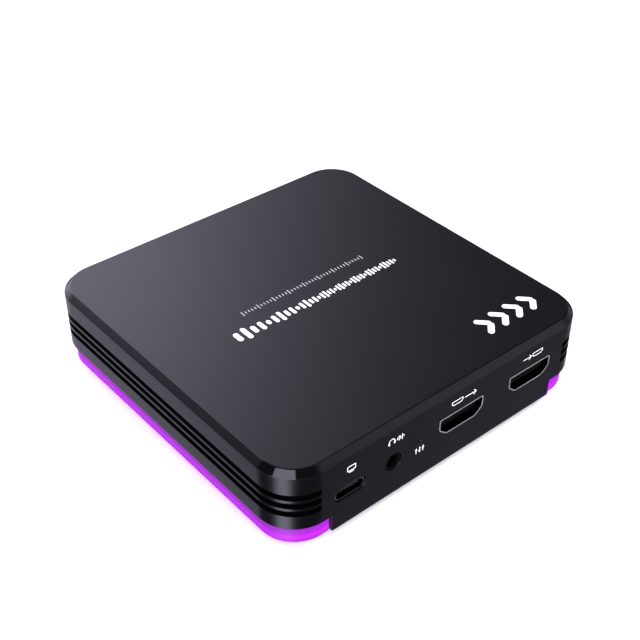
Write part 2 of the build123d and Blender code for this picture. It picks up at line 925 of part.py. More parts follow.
os.makedirs("parts", exist_ok=True)
for name, shape in nodes.items():
    export_step(shape, os.path.join("parts", name + ".step"))
    print(name, round(shape.volume, 1))
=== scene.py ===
import json
import math

import bmesh
import bpy
from mathutils import Matrix, Vector


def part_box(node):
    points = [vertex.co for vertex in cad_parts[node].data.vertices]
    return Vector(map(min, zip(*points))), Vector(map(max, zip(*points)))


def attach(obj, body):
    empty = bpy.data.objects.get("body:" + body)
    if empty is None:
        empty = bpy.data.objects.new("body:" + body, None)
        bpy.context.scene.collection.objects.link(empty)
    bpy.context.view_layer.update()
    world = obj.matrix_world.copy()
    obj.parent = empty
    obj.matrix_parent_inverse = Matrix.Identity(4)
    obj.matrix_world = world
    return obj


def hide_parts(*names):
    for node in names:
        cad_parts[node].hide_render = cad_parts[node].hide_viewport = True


# Looks of a flat square video capture box. Metres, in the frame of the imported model: the sockets face -Y.
MM = 0.001

# Camera, worked out from the photograph's straight edges and corners: lens in mm, roll in degrees
CAMERA_PLACE = Vector((-154.97, -185.03, 199.0)) * MM
CAMERA_TARGET = Vector((12.16, 12.63, 2.0)) * MM
CAMERA_LENS = 64.58
CAMERA_ROLL = 0.16
SENSOR_WIDTH = 36.0

# Places this near count as one, and corners nearer than the weld are merged. A face or an edge this square
# to an axis counts as flat or upright.
NEAR = 0.05 * MM
WELD = 0.001 * MM
SQUARE = 0.999

# Turns of a drawing: forward from up to -Y, and back from up to +Y or from -Y to up
TIP_FORWARD = Matrix.Rotation(math.radians(90), 4, "X")
TIP_BACK = Matrix.Rotation(math.radians(-90), 4, "X")

# Upper housing
CORNER_RADIUS = 10.6 * MM
CORNER_STEPS = 24
TOP_CHAMFER = 1.6 * MM
WALL = 2.4 * MM
TOP_WALL = 2.2 * MM
LIP_HEIGHT = 4.85 * MM
SKIRT_HALF_WIDTH = 37.0 * MM
GROOVE_HEIGHT = 1.72 * MM
GROOVE_DEPTH = 1.2 * MM
GROOVE_PITCH = 2.47 * MM
GROOVE_MIDDLE = 12.22 * MM
GROOVE_COUNT = 3
EDGE_ROUND = 0.14 * MM
EDGE_STEPS = 2
CREASE_ROUND = 0.24 * MM
CREASE_STEPS = 4
EDGE_ANGLE = math.radians(30)
SMOOTH_ANGLE = math.radians(50)
FLAT_ANGLE = math.radians(1)

# Inside of the housing: screw bosses with webs, and ribs under the top
BOSS_PLACE = Vector((39.4, 34.4)) * MM
BOSS_RADIUS = 2.7 * MM
BOSS_BOTTOM = 4.65 * MM
PILOT_RADIUS = 1.25 * MM
PILOT_TOP = 13.0 * MM
WEB_THICKNESS = 1.2 * MM
WEB_HEIGHT = 8.0 * MM
RIB_HEIGHT = 1.5 * MM
RIB_THICKNESS = 1.0 * MM
RIB_COUNT = 4
RIB_REACH = 34.0 * MM

# Sockets' outlines on the metal's middle, the room that their openings leave, and the flare at each mouth
VIDEO_SHELLS = ("video_in_shell", "video_out_shell")
VIDEO_WIDTH = 14.6 * MM
VIDEO_HEIGHT = 5.1 * MM
VIDEO_SIDE = 3.16 * MM
VIDEO_NOTCH = 2.33 * MM
VIDEO_CORNER = 0.5 * MM
SMALL_CORNER_STEPS = 4
VIDEO_METAL = 0.45 * MM
VIDEO_DROP = (VIDEO_HEIGHT + VIDEO_METAL) / 2
VIDEO_GAP = 0.15 * MM
USB_WIDTH = 8.94 * MM
USB_HEIGHT = 3.26 * MM
USB_DROP = USB_HEIGHT / 2
USB_GAP = 0.28 * MM
# Share of a half round at a slot's end, just short of one so that its two corners never meet
SLOT_ROUND = 0.999
JACK_RADIUS = 2.85 * MM
NOSE_RADIUS = 2.35 * MM
JACK_GAP = 0.1 * MM
PIN_HOLE_RADIUS = 0.55 * MM
MOUTH_FLARE = 0.12 * MM
CUT_OVERRUN = 1.0 * MM

# Socket shells: rolled rims, legs and spring fingers
USB_METAL = 0.3 * MM
RIM_SHARE = 0.42
RIM_STEPS = 4
LEG_FRONT = 3.9 * MM
LEG_BACK = 1.5 * MM
LEG_WIDTH = 1.8 * MM
VIDEO_LEG_METAL = 0.4 * MM
USB_LEG_METAL = 0.2 * MM
FINGER_START = 1.2 * MM
FINGER_LENGTH = 4.6 * MM
FINGER_WIDTH = 1.6 * MM
FINGER_METAL = 0.25 * MM
FINGER_DIP = 0.3 * MM
FINGER_BENDS = (0.35, 0.5, 0.65)
UPPER_FINGER_SPREAD = 3.4 * MM
LOWER_FINGER_SPREAD = 2.72 * MM
# Pale band along a shell's front rim, which paints its highlight line, and the size of its ragged patches
RIM_HIGHLIGHT_BAND = 0.06 * MM
RIM_HIGHLIGHT_PATCH = 0.8 * MM
PLATE_WIDTH = 6.9 * MM
PLATE_LENGTH = 3.0 * MM
PLATE_METAL = 0.16 * MM
PLATE_PROUD = 0.04 * MM
PLATE_CORNER = 0.69 * MM
JACK_ROUND = 0.18 * MM

# Light guide: its glow from the lower edge (0) to the upper one (1), and the faint clouds in it. Its lower
# edge and its front corners give more light than the rest. Its glow dims towards the upper edge, which
# paints the shade under the housing's lip.
GLOW_AND_LIP_SHADE = ((0.0, "#a01cd2"), (0.19, "#cb27fd"), (0.42, "#a227cb"), (0.65, "#8138a2"), (1.0, "#3f1d50"))
CLOUD = 9 * MM
CLOUD_DIM = 0.9
GUIDE_EDGE = 0.05 * MM
EDGE_LEAK = 3.6
GUIDE_CORNER = 11.0 * MM
FRONT_GAIN = 1.4

# Printed marks are a thin film that stands a little above the plastic. Bars that cross lie a hair apart, and
# those of arrow heads and chevrons slant by so many degrees.
INK_THICK = 0.05 * MM
INK_PROUD = 0.02 * MM
HAIR = 0.0003 * MM
LINE = 0.21 * MM
BAR_ROUND = 0.49
BAR_STEPS = 5
SLANT = 45

# Middles of the marks in mm: X and Y on the top, and X and Z on the socket face
WAVE_PLACE = (0.0, -2.0)
RULER_PLACE = (0.0, 4.9)
CHEVRON_PLACE = (24.0, -38.0)
SCREEN_PLACE = (-31.5, 18.5)
HEADPHONE_PLACE = (-17.9, 19.0)
SLIDER_PLACE = (-10.0, 11.1)
OUT_PLACE = (4.2, 19.3)
IN_PLACE = (28.3, 19.6)

# Audio wave: its bars thin out from bold and tall to fine and low over the first part of its length. Their
# pitch and least height are in bar widths, and their heights beat and swell round a mean from bar to bar.
WAVE_START = -27.3 * MM
WAVE_END = 26.0 * MM
WAVE_THINS = 1 / 1.8
WAVE_BOLD = 1.5 * MM
WAVE_FINE = 0.6 * MM
WAVE_TALL = 5.5 * MM
WAVE_LOW = 3.19 * MM
WAVE_PITCH = 1.75
WAVE_LEAST = 1.4
WAVE_MEAN = 0.65
WAVE_BEAT = 1.9
WAVE_SWELL = 0.63

# Ruler line and chevrons
RULER_TICKS = 41
RULER_PITCH = 1.0 * MM
RULER_GROUP = 5
TICK_WIDTH = 0.28 * MM
SHORT_TICK = 1.0 * MM
TALL_TICK = 1.9 * MM
CHEVRONS = 4
CHEVRON_PITCH = 5.2 * MM
CHEVRON_ARM = 4.5 * MM
CHEVRON_RISE = 1.5 * MM
CHEVRON_BOLD = 1.7 * MM

# Pictograms: a screen on its foot, headphones with level bars, sliders, and sockets with arrows out and in.
# The heights of the level bars and the lifts of the sliders' knobs are in mm.
SCREEN_WIDTH = 2.6 * MM
SCREEN_HEIGHT = 1.5 * MM
SCREEN_CORNER = 0.25 * MM
SCREEN_LIFT = 0.25 * MM
FOOT_WIDTH = 1.5 * MM
FOOT_DROP = 0.85 * MM
HEADPHONE_X = -1.35 * MM
HEADBAND_RADIUS = 1.0 * MM
EARPIECE_SPREAD = 0.85 * MM
EARPIECE_DROP = 0.3 * MM
EARPIECE_WIDTH = 0.46 * MM
EARPIECE_HEIGHT = 0.9 * MM
LEVEL_X = 0.35 * MM
LEVEL_PITCH = 0.5 * MM
LEVEL_HEIGHTS = (0.7, 1.5, 1.0, 1.8, 0.6)
SLIDER_PITCH = 1.1 * MM
SLIDER_LINE = 0.2 * MM
SLIDER_HEIGHT = 1.75 * MM
SLIDER_LIFTS = (0.3, -0.35, 0.1)
KNOB_WIDTH = 0.7 * MM
KNOB_HEIGHT = 0.34 * MM
SOCKET_SCALE = 0.26
SOCKET_OUT_X = -2.3 * MM
SOCKET_IN_X = 1.9 * MM
ARROW_OUT_X = 2.1 * MM
ARROW_OUT_LENGTH = 3.9 * MM
ARROW_IN_X = -1.9 * MM
ARROW_IN_LENGTH = 3.0 * MM
ARROW_HEAD = 1.15 * MM
HEAD_BACK = 0.4025 * MM
HEAD_RISE = 0.368 * MM

# Studio, which the sheen mirrors. Angles are in degrees: azimuth 0 is the right side and 90 the back. Each
# soft box has its middle, half width and soft edge in azimuth, its lowest, highest and soft edge in
# elevation, and its strength. The back light is round and fades evenly, up to its top edge.
STUDIO_TINT = "#eae8ff"
STUDIO_DIM = 0.01
SOFT_BOXES = {
    "tall box left of the camera": (208, 27, 2, 0, 62, 4, 3.9),
    "same box below the horizon": (204, 18, 6, -70, 0, 4, 3.4),
    "low back": (104, 22, 14, -80, 0, 4, 0.93),
    "front right": (-46, 16, 14, 0, 60, 6, 0.68),
    "back left": (134, 8, 6, 10, 52, 5, 0.3),
    "all round the horizon": (0, 200, 1, -10, 14, 6, 0.4),
    "low front right": (-36, 16, 14, -70, 0, 6, 0.25),
    "low right": (14, 14, 8, -70, -32, 4, 0.8),
}
BACK_AZIMUTH = 91
BACK_ELEVATION = 32
BACK_SHARPNESS = 17
BACK_STRENGTH = 16.5
BACK_LIMIT = 2.8
BACK_TOP = 50
BACK_TOP_EDGE = 3

# Panels that light the floor and the marks, one overhead and one each at the right, back, left and front
FLOOR_REACH = 0.7
FLOOR_DROP = 0.02 * MM
PANEL_SIZE = 0.9
PANEL_DISTANCE = 0.8
OVERHEAD_POWER = 4.0
SIDE_POWERS = (8.0, 8.0, 0.8, 13.0)

# A noise keeps nearly all its values between these
NOISE_LOW = 0.3
NOISE_HIGH = 0.7


def linear(hex_colour):
    """An sRGB hex value as linear red, green, blue and a full alpha."""
    parts = [int(hex_colour[i:i + 2], 16) / 255 for i in (1, 3, 5)]
    parts = [c / 12.92 if c <= 0.04045 else ((c + 0.055) / 1.055) ** 2.4 for c in parts]
    return (*parts, 1.0)


def add(owner, kind, inputs=None, **settings):
    """Adds one node with its settings; each input takes a value or the socket that feeds it."""
    tree = owner.node_tree
    node = tree.nodes.new(kind)
    for name, value in settings.items():
        setattr(node, name, value)
    for name, value in (inputs or {}).items():
        if isinstance(value, bpy.types.NodeSocket):
            tree.links.new(value, node.inputs[name])
        else:
            node.inputs[name].default_value = value
    return node


def start_material(name):
    material = bpy.data.materials.new(name)
    material.use_nodes = True
    material.node_tree.nodes.clear()
    return material


def finish_material(material, surface):
    add(material, "ShaderNodeOutputMaterial", {"Surface": surface.outputs["BSDF"]})
    return material


def moulded(name, colour, worn_colour, roughness, spread, patch, grain, depth, **extra):
    """Moulded or pressed stuff: wide soft patches in colour and gloss, and a fine surface grain."""
    material = start_material(name)
    place = add(material, "ShaderNodeTexCoord").outputs["Object"]
    patches = add(material, "ShaderNodeTexNoise", {"Vector": place, "Scale": 1 / patch, "Detail": 3.0})
    grains = add(material, "ShaderNodeTexNoise", {"Vector": place, "Scale": 1 / grain, "Detail": 2.0})
    tint = add(material, "ShaderNodeMixRGB",
               {"Fac": patches.outputs["Fac"], "Color1": linear(colour), "Color2": linear(worn_colour)})
    gloss = add(material, "ShaderNodeMapRange",
                {"Value": patches.outputs["Fac"], "From Min": NOISE_LOW, "From Max": NOISE_HIGH,
                 "To Min": roughness - spread, "To Max": roughness + spread})
    relief = add(material, "ShaderNodeBump", {"Height": grains.outputs["Fac"], "Distance": depth})
    surface = add(material, "ShaderNodeBsdfPrincipled",
                  {"Base Color": tint.outputs["Color"], "Roughness": gloss.outputs["Result"],
                   "Normal": relief.outputs["Normal"], **extra})
    return finish_material(material, surface)


def metal(name, colour, dull_colour, roughness, spread, streak, depth):
    """Bare or plated metal with fine streaks: streak gives the size of a streak along X, Y and Z."""
    material = start_material(name)
    place = add(material, "ShaderNodeTexCoord").outputs["Object"]
    turned = add(material, "ShaderNodeMapping", {"Vector": place, "Scale": [1 / size for size in streak]})
    streaks = add(material, "ShaderNodeTexNoise",
                  {"Vector": turned.outputs["Vector"], "Scale": 1.0, "Detail": 4.0})
    tint = add(material, "ShaderNodeMixRGB",
               {"Fac": streaks.outputs["Fac"], "Color1": linear(colour), "Color2": linear(dull_colour)})
    gloss = add(material, "ShaderNodeMapRange",
                {"Value": streaks.outputs["Fac"], "From Min": NOISE_LOW, "From Max": NOISE_HIGH,
                 "To Min": roughness - spread, "To Max": roughness + spread})
    relief = add(material, "ShaderNodeBump", {"Height": streaks.outputs["Fac"], "Distance": depth})
    surface = add(material, "ShaderNodeBsdfPrincipled",
                  {"Base Color": tint.outputs["Color"], "Roughness": gloss.outputs["Result"],
                   "Metallic": 1.0, "Normal": relief.outputs["Normal"]})
    return finish_material(material, surface)


def satin_moulded_abs():
    # Black ABS from a finely etched mould: near black in itself, and a satin sheen that smears each light.
    # The etch is about 0.05 mm across, drawn at 0.4 mm so that it shows at all.
    return moulded("satin moulded ABS", "#060608", "#08080a", roughness=0.3, spread=0.02, patch=35 * MM,
                   grain=0.4 * MM, depth=0.0012 * MM)


def polished_abs_edge():
    # The same black ABS where the mould is polished, along the chamfer: clear, sharp reflections.
    return moulded("polished ABS edge", "#060607", "#070709", roughness=0.05, spread=0.01, patch=20 * MM,
                   grain=1.2 * MM, depth=0.0008 * MM)


def shaded_abs_groove():
    # The same black ABS in the grooves, where the spark-eroded mould is left rough. It is darker and all but
    # without sheen, which paints the shade in the grooves.
    return moulded("ABS groove painted in shade", "#020202", "#030304", roughness=0.65, spread=0.05, patch=20 * MM,
                   grain=0.3 * MM, depth=0.006 * MM, **{"Specular IOR Level": 0.05})


def matt_moulded_abs():
    # Black ABS with a coarse spark-eroded texture on the underside: dull and evenly grained.
    return moulded("matt moulded ABS", "#101012", "#18181a", roughness=0.58, spread=0.05, patch=18 * MM,
                   grain=0.5 * MM, depth=0.02 * MM)


def lit_milky_guide(low, high):
    # Milky polycarbonate, edge-lit by purple emitters: a bright core, softer towards the wall, brighter
    # round the front corners, and a lower edge that leaks the most light on to whatever the box stands on.
    # The dimming towards the wall is painted shade under the housing's lip.
    material = start_material("lit milky polycarbonate")
    place = add(material, "ShaderNodeTexCoord").outputs["Object"]
    height = add(material, "ShaderNodeSeparateXYZ", {"Vector": place}).outputs["Z"]
    cloud = add(material, "ShaderNodeTexNoise", {"Vector": place, "Scale": 1 / CLOUD, "Detail": 1.0})
    rise = add(material, "ShaderNodeMapRange", {"Value": height, "From Min": low.z, "From Max": high.z})
    # The ramp's dimming towards the top is painted shade under the housing's lip
    ramp = add(material, "ShaderNodeValToRGB", {"Fac": rise.outputs["Result"]})
    ramp.color_ramp.interpolation = "EASE"
    while len(ramp.color_ramp.elements) < len(GLOW_AND_LIP_SHADE):
        ramp.color_ramp.elements.new(0.5)
    for stop, (share, colour) in zip(ramp.color_ramp.elements, GLOW_AND_LIP_SHADE):
        stop.position = share
        stop.color = linear(colour)
    power = add(material, "ShaderNodeMapRange",
                {"Value": cloud.outputs["Fac"], "From Min": NOISE_LOW, "From Max": NOISE_HIGH,
                 "To Min": CLOUD_DIM, "To Max": 1.0})
    along = add(material, "ShaderNodeSeparateXYZ", {"Vector": place}).outputs["Y"]
    front = add(material, "ShaderNodeMapRange",
                {"Value": along, "From Min": low.y + GUIDE_CORNER, "From Max": low.y,
                 "To Min": 1.0, "To Max": FRONT_GAIN})
    leak = add(material, "ShaderNodeMapRange",
               {"Value": height, "From Min": low.z + GUIDE_EDGE, "From Max": low.z + 2 * GUIDE_EDGE,
                "To Min": EDGE_LEAK, "To Max": 1.0})
    brighter = add(material, "ShaderNodeMath", {0: power.outputs["Result"], 1: front.outputs["Result"]},
                   operation="MULTIPLY")
    glow = add(material, "ShaderNodeMath", {0: brighter.outputs[0], 1: leak.outputs["Result"]},
               operation="MULTIPLY")
    surface = add(material, "ShaderNodeBsdfPrincipled",
                  {"Base Color": linear("#0a040c"), "Roughness": 0.5, "IOR": 1.58,
                   "Specular IOR Level": 0.25, "Emission Color": ramp.outputs["Color"],
                   "Emission Strength": glow.outputs[0]})
    return finish_material(material, surface)


def glowing_resin():
    # Clear epoxy over a light emitter: glossy, faintly amber, and lit from inside.
    return moulded("clear emitter resin", "#d8c68c", "#e8dcb0", roughness=0.12, spread=0.03, patch=2 * MM,
                   grain=0.5 * MM, depth=0.001 * MM,
                   **{"Emission Color": linear("#c85aff"), "Emission Strength": 1.5})


def white_printed_strip():
    # Flexible laminate with a white solder mask: slightly glossy, with a faint weave of the copper below.
    return moulded("white masked flexible laminate", "#e4e4de", "#d2d2cc", roughness=0.42, spread=0.06,
                   patch=4 * MM, grain=0.6 * MM, depth=0.01 * MM)


def cream_nylon():
    # Heat resistant nylon of a connector: warm off-white with glass fibre flow marks.
    return moulded("glass filled cream nylon", "#d8cfb4", "#cabf9f", roughness=0.5, spread=0.05,
                   patch=3 * MM, grain=0.3 * MM, depth=0.006 * MM)


def matt_rubber():
    # Moulded silicone rubber feet: dull, slightly dusty black.
    return moulded("matt silicone rubber", "#151516", "#1f1f20", roughness=0.78, spread=0.06, patch=4 * MM,
                   grain=0.35 * MM, depth=0.03 * MM)


def black_zinc():
    # Black zinc plating on turned steel: dark, oily sheen with turning marks.
    return metal("black zinc plated steel", "#3c3c40", "#242427", roughness=0.34, spread=0.06,
                 streak=(0.6 * MM, 0.6 * MM, 0.12 * MM), depth=0.002 * MM)


def solder_resist():
    # Green solder resist over copper tracks: glossy green, lighter where copper lies under it.
    material = start_material("green solder resist")
    place = add(material, "ShaderNodeTexCoord").outputs["Object"]
    cells = add(material, "ShaderNodeTexBrick",
                {"Vector": place, "Color1": linear("#0b4a2a"), "Color2": linear("#0f5a34"),
                 "Mortar": linear("#083a20"), "Scale": 1.0, "Mortar Size": 0.12 * MM, "Mortar Smooth": 0.1,
                 "Brick Width": 3.4 * MM, "Row Height": 0.5 * MM})
    relief = add(material, "ShaderNodeBump", {"Height": cells.outputs["Fac"], "Distance": -0.02 * MM})
    surface = add(material, "ShaderNodeBsdfPrincipled",
                  {"Base Color": cells.outputs["Color"], "Roughness": 0.28,
                   "Normal": relief.outputs["Normal"]})
    return finish_material(material, surface)


def dark_shaded_nickel_lit_rim(name, front, rim_highlight_colour, rim_rough, rim_metallic):
    # Black nickel over steel: dark inside the mouth, with the plating rubbed away along the front rim.
    # Its darkness also paints the shade inside the mouth, and the pale rim band paints a highlight line.
    material = start_material(name)
    place = add(material, "ShaderNodeTexCoord").outputs["Object"]
    depth = add(material, "ShaderNodeSeparateXYZ", {"Vector": place}).outputs["Y"]
    patch = add(material, "ShaderNodeTexNoise", {"Vector": place, "Scale": 1 / RIM_HIGHLIGHT_PATCH, "Detail": 2.0})
    ragged = add(material, "ShaderNodeMath", {0: patch.outputs["Fac"], 1: RIM_HIGHLIGHT_BAND, 2: depth},
                 operation="MULTIPLY_ADD")
    lit_band = add(material, "ShaderNodeMapRange",
               {"Value": ragged.outputs[0], "From Min": front + RIM_HIGHLIGHT_BAND, "From Max": front + 2 * RIM_HIGHLIGHT_BAND,
                "To Min": 1.0, "To Max": 0.0}).outputs["Result"]
    # Dark nickel paints the shade in the mouth, and the pale band paints the rim's highlight line
    colour = add(material, "ShaderNodeMix",
                 {"Factor": lit_band, "A": linear("#262628"), "B": linear(rim_highlight_colour)}, data_type="RGBA")
    rough = add(material, "ShaderNodeMapRange", {"Value": lit_band, "To Min": 0.3, "To Max": rim_rough})
    metallic = add(material, "ShaderNodeMapRange", {"Value": lit_band, "To Min": 1.0, "To Max": rim_metallic})
    surface = add(material, "ShaderNodeBsdfPrincipled",
                  {"Base Color": colour.outputs["Result"], "Roughness": rough.outputs["Result"],
                   "Metallic": metallic.outputs["Result"]})
    return finish_material(material, surface)


def sheared_rim_highlight(front):
    # The folded shell's rim is bare sheared steel: torn, dull and grey. Its pale band paints
    # a highlight line along the rim.
    return dark_shaded_nickel_lit_rim("shaded black nickel, sheared rim highlight", front, "#d2d1cf", rim_rough=0.55,
                               rim_metallic=0.88)


def drawn_rim_highlight(front):
    # The type C shell is drawn, not sheared, so its rim is smooth and mirrors only narrow lights. Its pale
    # band paints a highlight line along the rim.
    return dark_shaded_nickel_lit_rim("shaded black nickel, drawn rim highlight", front, "#b4b4b6", rim_rough=0.16,
                               rim_metallic=1.0)


def nickel_plate():
    # Bright nickel over folded steel: warm grey metal with faint rolling lines along the fold.
    return metal("nickel plated steel", "#c2bfb8", "#a19e97", roughness=0.26, spread=0.05,
                 streak=(0.25 * MM, 4 * MM, 0.25 * MM), depth=0.001 * MM)


def black_insulator():
    # Glass filled liquid crystal polymer, black with carbon: dull and slightly streaked.
    return moulded("glass filled black insulator", "#030303", "#070708", roughness=0.5, spread=0.06,
                   patch=1.5 * MM, grain=0.25 * MM, depth=0.006 * MM, **{"Specular IOR Level": 0.15})


def gold_flash():
    # Thin gold over nickel on the contacts: soft yellow metal, worn paler where a plug wipes.
    return metal("gold flashed contact", "#e3b861", "#d0b27a", roughness=0.24, spread=0.05,
                 streak=(0.1 * MM, 1.5 * MM, 0.1 * MM), depth=0.0008 * MM)


def jack_nylon():
    # Sooty black nylon of the jack: so much carbon in it that it hardly gives light back.
    return moulded("black jack nylon", "#030303", "#060606", roughness=0.5, spread=0.05, patch=3 * MM,
                   grain=0.3 * MM, depth=0.003 * MM, **{"Specular IOR Level": 0.12})


def switch_nylon():
    # Black nylon of the push switch, with the dull grain of a small mould.
    return moulded("black switch nylon", "#0b0b0b", "#111112", roughness=0.6, spread=0.05, patch=2 * MM,
                   grain=0.25 * MM, depth=0.006 * MM)


def stamped_cover():
    # Tin plated stamped sheet: paler and duller than the sockets' nickel.
    return metal("tin plated stamped sheet", "#c9c9c7", "#adadab", roughness=0.36, spread=0.06,
                 streak=(0.3 * MM, 0.3 * MM, 2 * MM), depth=0.0015 * MM)


def chip_epoxy():
    # Moulded epoxy of the chips: charcoal with a fine sandblasted grain.
    return moulded("sandblasted chip epoxy", "#222326", "#2b2c2f", roughness=0.55, spread=0.04, patch=3 * MM,
                   grain=0.2 * MM, depth=0.008 * MM)


def silicone_pad():
    # Soft thermal pad: chalky grey blue, with filler specks.
    return moulded("filled silicone pad", "#6e7f96", "#8795a8", roughness=0.82, spread=0.05, patch=1.2 * MM,
                   grain=0.3 * MM, depth=0.04 * MM)


def anodised_extrusion():
    # Black anodised extruded aluminium: dark satin metal with draw lines along the fins.
    return metal("black anodised aluminium", "#2e2e32", "#1d1d20", roughness=0.42, spread=0.05,
                 streak=(0.18 * MM, 20 * MM, 0.18 * MM), depth=0.004 * MM)


def pressed_ferrite():
    # Pressed iron powder: dark grey, dull and speckled.
    return moulded("pressed ferrite", "#2f2f33", "#4a4a50", roughness=0.66, spread=0.08, patch=0.5 * MM,
                   grain=0.2 * MM, depth=0.02 * MM)


def drawn_can():
    # Deep drawn aluminium can, clear lacquered: bright, with vertical drawing marks.
    return metal("drawn aluminium can", "#dcdddf", "#c2c4c8", roughness=0.22, spread=0.05,
                 streak=(0.2 * MM, 0.2 * MM, 3 * MM), depth=0.001 * MM)


def welded_lid():
    # Nickel plated welded lid of a crystal: warm and slightly hazed.
    return metal("welded crystal lid", "#cbc7b8", "#b0ac9c", roughness=0.3, spread=0.06,
                 streak=(0.3 * MM, 0.3 * MM, 0.3 * MM), depth=0.001 * MM)


def fired_ceramic():
    # Fired barium titanate blocks: biscuit brown, faintly mottled.
    return moulded("fired ceramic block", "#8f7250", "#7b6143", roughness=0.4, spread=0.06, patch=0.5 * MM,
                   grain=0.2 * MM, depth=0.004 * MM)


def pad_ink():
    # Pad printed white ink: a thin matt film, very slightly uneven in cover.
    return moulded("pad printed white ink", "#e6e6e6", "#cfcfcf", roughness=0.55, spread=0.05,
                   patch=0.8 * MM, grain=0.3 * MM, depth=0.004 * MM)


def thin_pad_ink():
    # The same ink printed thinner, so the black below greys it.
    return moulded("thin pad printed ink", "#a9a9ab", "#8e8e90", roughness=0.5, spread=0.05, patch=0.8 * MM,
                   grain=0.3 * MM, depth=0.003 * MM)


def wear(obj, *materials):
    """Gives a piece its materials; its faces keep their indices, which clearing empty slots would reset."""
    if obj.data.materials:
        obj.data.materials.clear()
    for material in materials:
        obj.data.materials.append(material)


def as_object(name, bm):
    """Turns a bmesh into an object at the origin."""
    mesh = bpy.data.meshes.new(name)
    bm.to_mesh(mesh)
    bm.free()
    obj = bpy.data.objects.new(name, mesh)
    bpy.context.scene.collection.objects.link(obj)
    return obj


def on_casing(obj, slot, *nodes):
    """The piece rides on the casing and may stand for CAD nodes; slot is not used."""
    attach(obj, "casing")
    if nodes:
        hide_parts(*nodes)


def soften(obj):
    """Smooth shading over small rounds, with flat faces kept flat."""
    for face in obj.data.polygons:
        face.use_smooth = True
    obj.data.set_sharp_from_angle(angle=SMOOTH_ANGLE)
    obj.modifiers.new("flat_faces", "WEIGHTED_NORMAL").keep_sharp = True


def settle(obj):
    """Turns the piece's modifiers into plain mesh."""
    graph = bpy.context.evaluated_depsgraph_get()
    done = bpy.data.meshes.new_from_object(obj.evaluated_get(graph))
    obj.modifiers.clear()
    obj.data = done


def combine(obj, tool, operation):
    """Cuts a closed tool away from the piece, or joins it on."""
    modifier = obj.modifiers.new("combine", "BOOLEAN")
    modifier.operation = operation
    modifier.solver = "EXACT"
    modifier.use_self = True
    modifier.object = tool
    settle(obj)
    bpy.data.objects.remove(tool)


def around(faces):
    """Faces with their edges and corners, as the cutting operator wants them."""
    return [*faces, *{e for f in faces for e in f.edges}, *{v for f in faces for v in f.verts}]


def round_edges(bm, edges, radius, steps):
    return bmesh.ops.bevel(bm, geom=edges, offset=radius, segments=steps, profile=0.5,
                           affect="EDGES", material=-1, clamp_overlap=True)


def round_corners(bm, verts, radius, steps):
    return bmesh.ops.bevel(bm, geom=verts, offset=radius, segments=steps, profile=0.5,
                           affect="VERTICES", material=-1)


def block(bm, low, high):
    """A plain block between two corners, for the caller to shape."""
    low, high = Vector(low), Vector(high)
    place = Matrix.Translation((low + high) / 2) @ Matrix.Diagonal((*(high - low), 1))
    return bmesh.ops.create_cube(bm, size=1.0, matrix=place)["verts"]


def post(bm, x, y, radius, low, high):
    """An upright cylinder."""
    place = Matrix.Translation((x, y, (low + high) / 2))
    bmesh.ops.create_cone(bm, cap_ends=True, segments=CORNER_STEPS, radius1=radius, radius2=radius,
                          depth=high - low, matrix=place)


def upright_edges(verts):
    """The edges along Z among these corners."""
    edges = {e for v in verts for e in v.link_edges}
    return [e for e in edges if abs((e.verts[0].co - e.verts[1].co).normalized().z) > SQUARE]


def level_faces(bm, side, height):
    """The flat faces that look up (side 1) or down (side -1) at that height."""
    return [f for f in bm.faces
            if f.normal.z * side > SQUARE and abs(f.calc_center_median().z - height) < NEAR]


def footprint_inset(point, half_x, half_y):
    """How far a point lies inside the rounded footprint."""
    x = abs(point.x) - (half_x - CORNER_RADIUS)
    y = abs(point.y) - (half_y - CORNER_RADIUS)
    return CORNER_RADIUS - math.hypot(max(x, 0), max(y, 0)) - min(max(x, y), 0)


def add_top_and_cavity(bm, low, high):
    """Rounded block with a chamfered top, whose chamfer takes the second finish, hollowed from below."""
    lip = low.z + LIP_HEIGHT
    verts = block(bm, (low.x, low.y, lip), high)
    round_edges(bm, upright_edges(verts), CORNER_RADIUS, CORNER_STEPS)
    top, = level_faces(bm, 1, high.z)
    for face in round_edges(bm, top.edges, TOP_CHAMFER, 1)["faces"]:
        face.material_index = 1
    opening, = level_faces(bm, -1, lip)
    bmesh.ops.inset_region(bm, faces=[opening], thickness=WALL, use_even_offset=True, use_boundary=True)
    ceiling, = bmesh.ops.extrude_discrete_faces(bm, faces=[opening])["faces"]
    bmesh.ops.translate(bm, verts=ceiling.verts, vec=(0, 0, high.z - TOP_WALL - lip))


def groove_middles(low):
    first = low.z + GROOVE_MIDDLE - (GROOVE_COUNT - 1) / 2 * GROOVE_PITCH
    return [first + number * GROOVE_PITCH for number in range(GROOVE_COUNT)]


def on_groove(point, low):
    """True on a groove's own edges, which the mould leaves crisp."""
    return any(abs(point.z - middle) < GROOVE_HEIGHT / 2 + NEAR for middle in groove_middles(low))


def sink_grooves(bm, low, high):
    """Three grooves round the walls that stop at the socket face; their faces take the third finish."""
    def outer_walls():
        return [f for f in bm.faces if abs(f.normal.z) < 1 - SQUARE and f.normal.y > -SQUARE
                and footprint_inset(f.calc_center_median(), high.x, high.y) < NEAR]

    for middle in groove_middles(low):
        for side in (-1, 1):
            level = (0, 0, middle + side * GROOVE_HEIGHT / 2)
            bmesh.ops.bisect_plane(bm, geom=around(outer_walls()), plane_co=level, plane_no=(0, 0, 1))
    bands = [f for f in outer_walls() if on_groove(f.calc_center_median(), low)]
    sides = bmesh.ops.inset_region(bm, faces=bands, thickness=0, depth=-GROOVE_DEPTH,
                                   use_even_offset=True, use_boundary=True)["faces"]
    # The third finish paints the shade in the grooves
    for face in bands + sides:
        face.material_index = 2


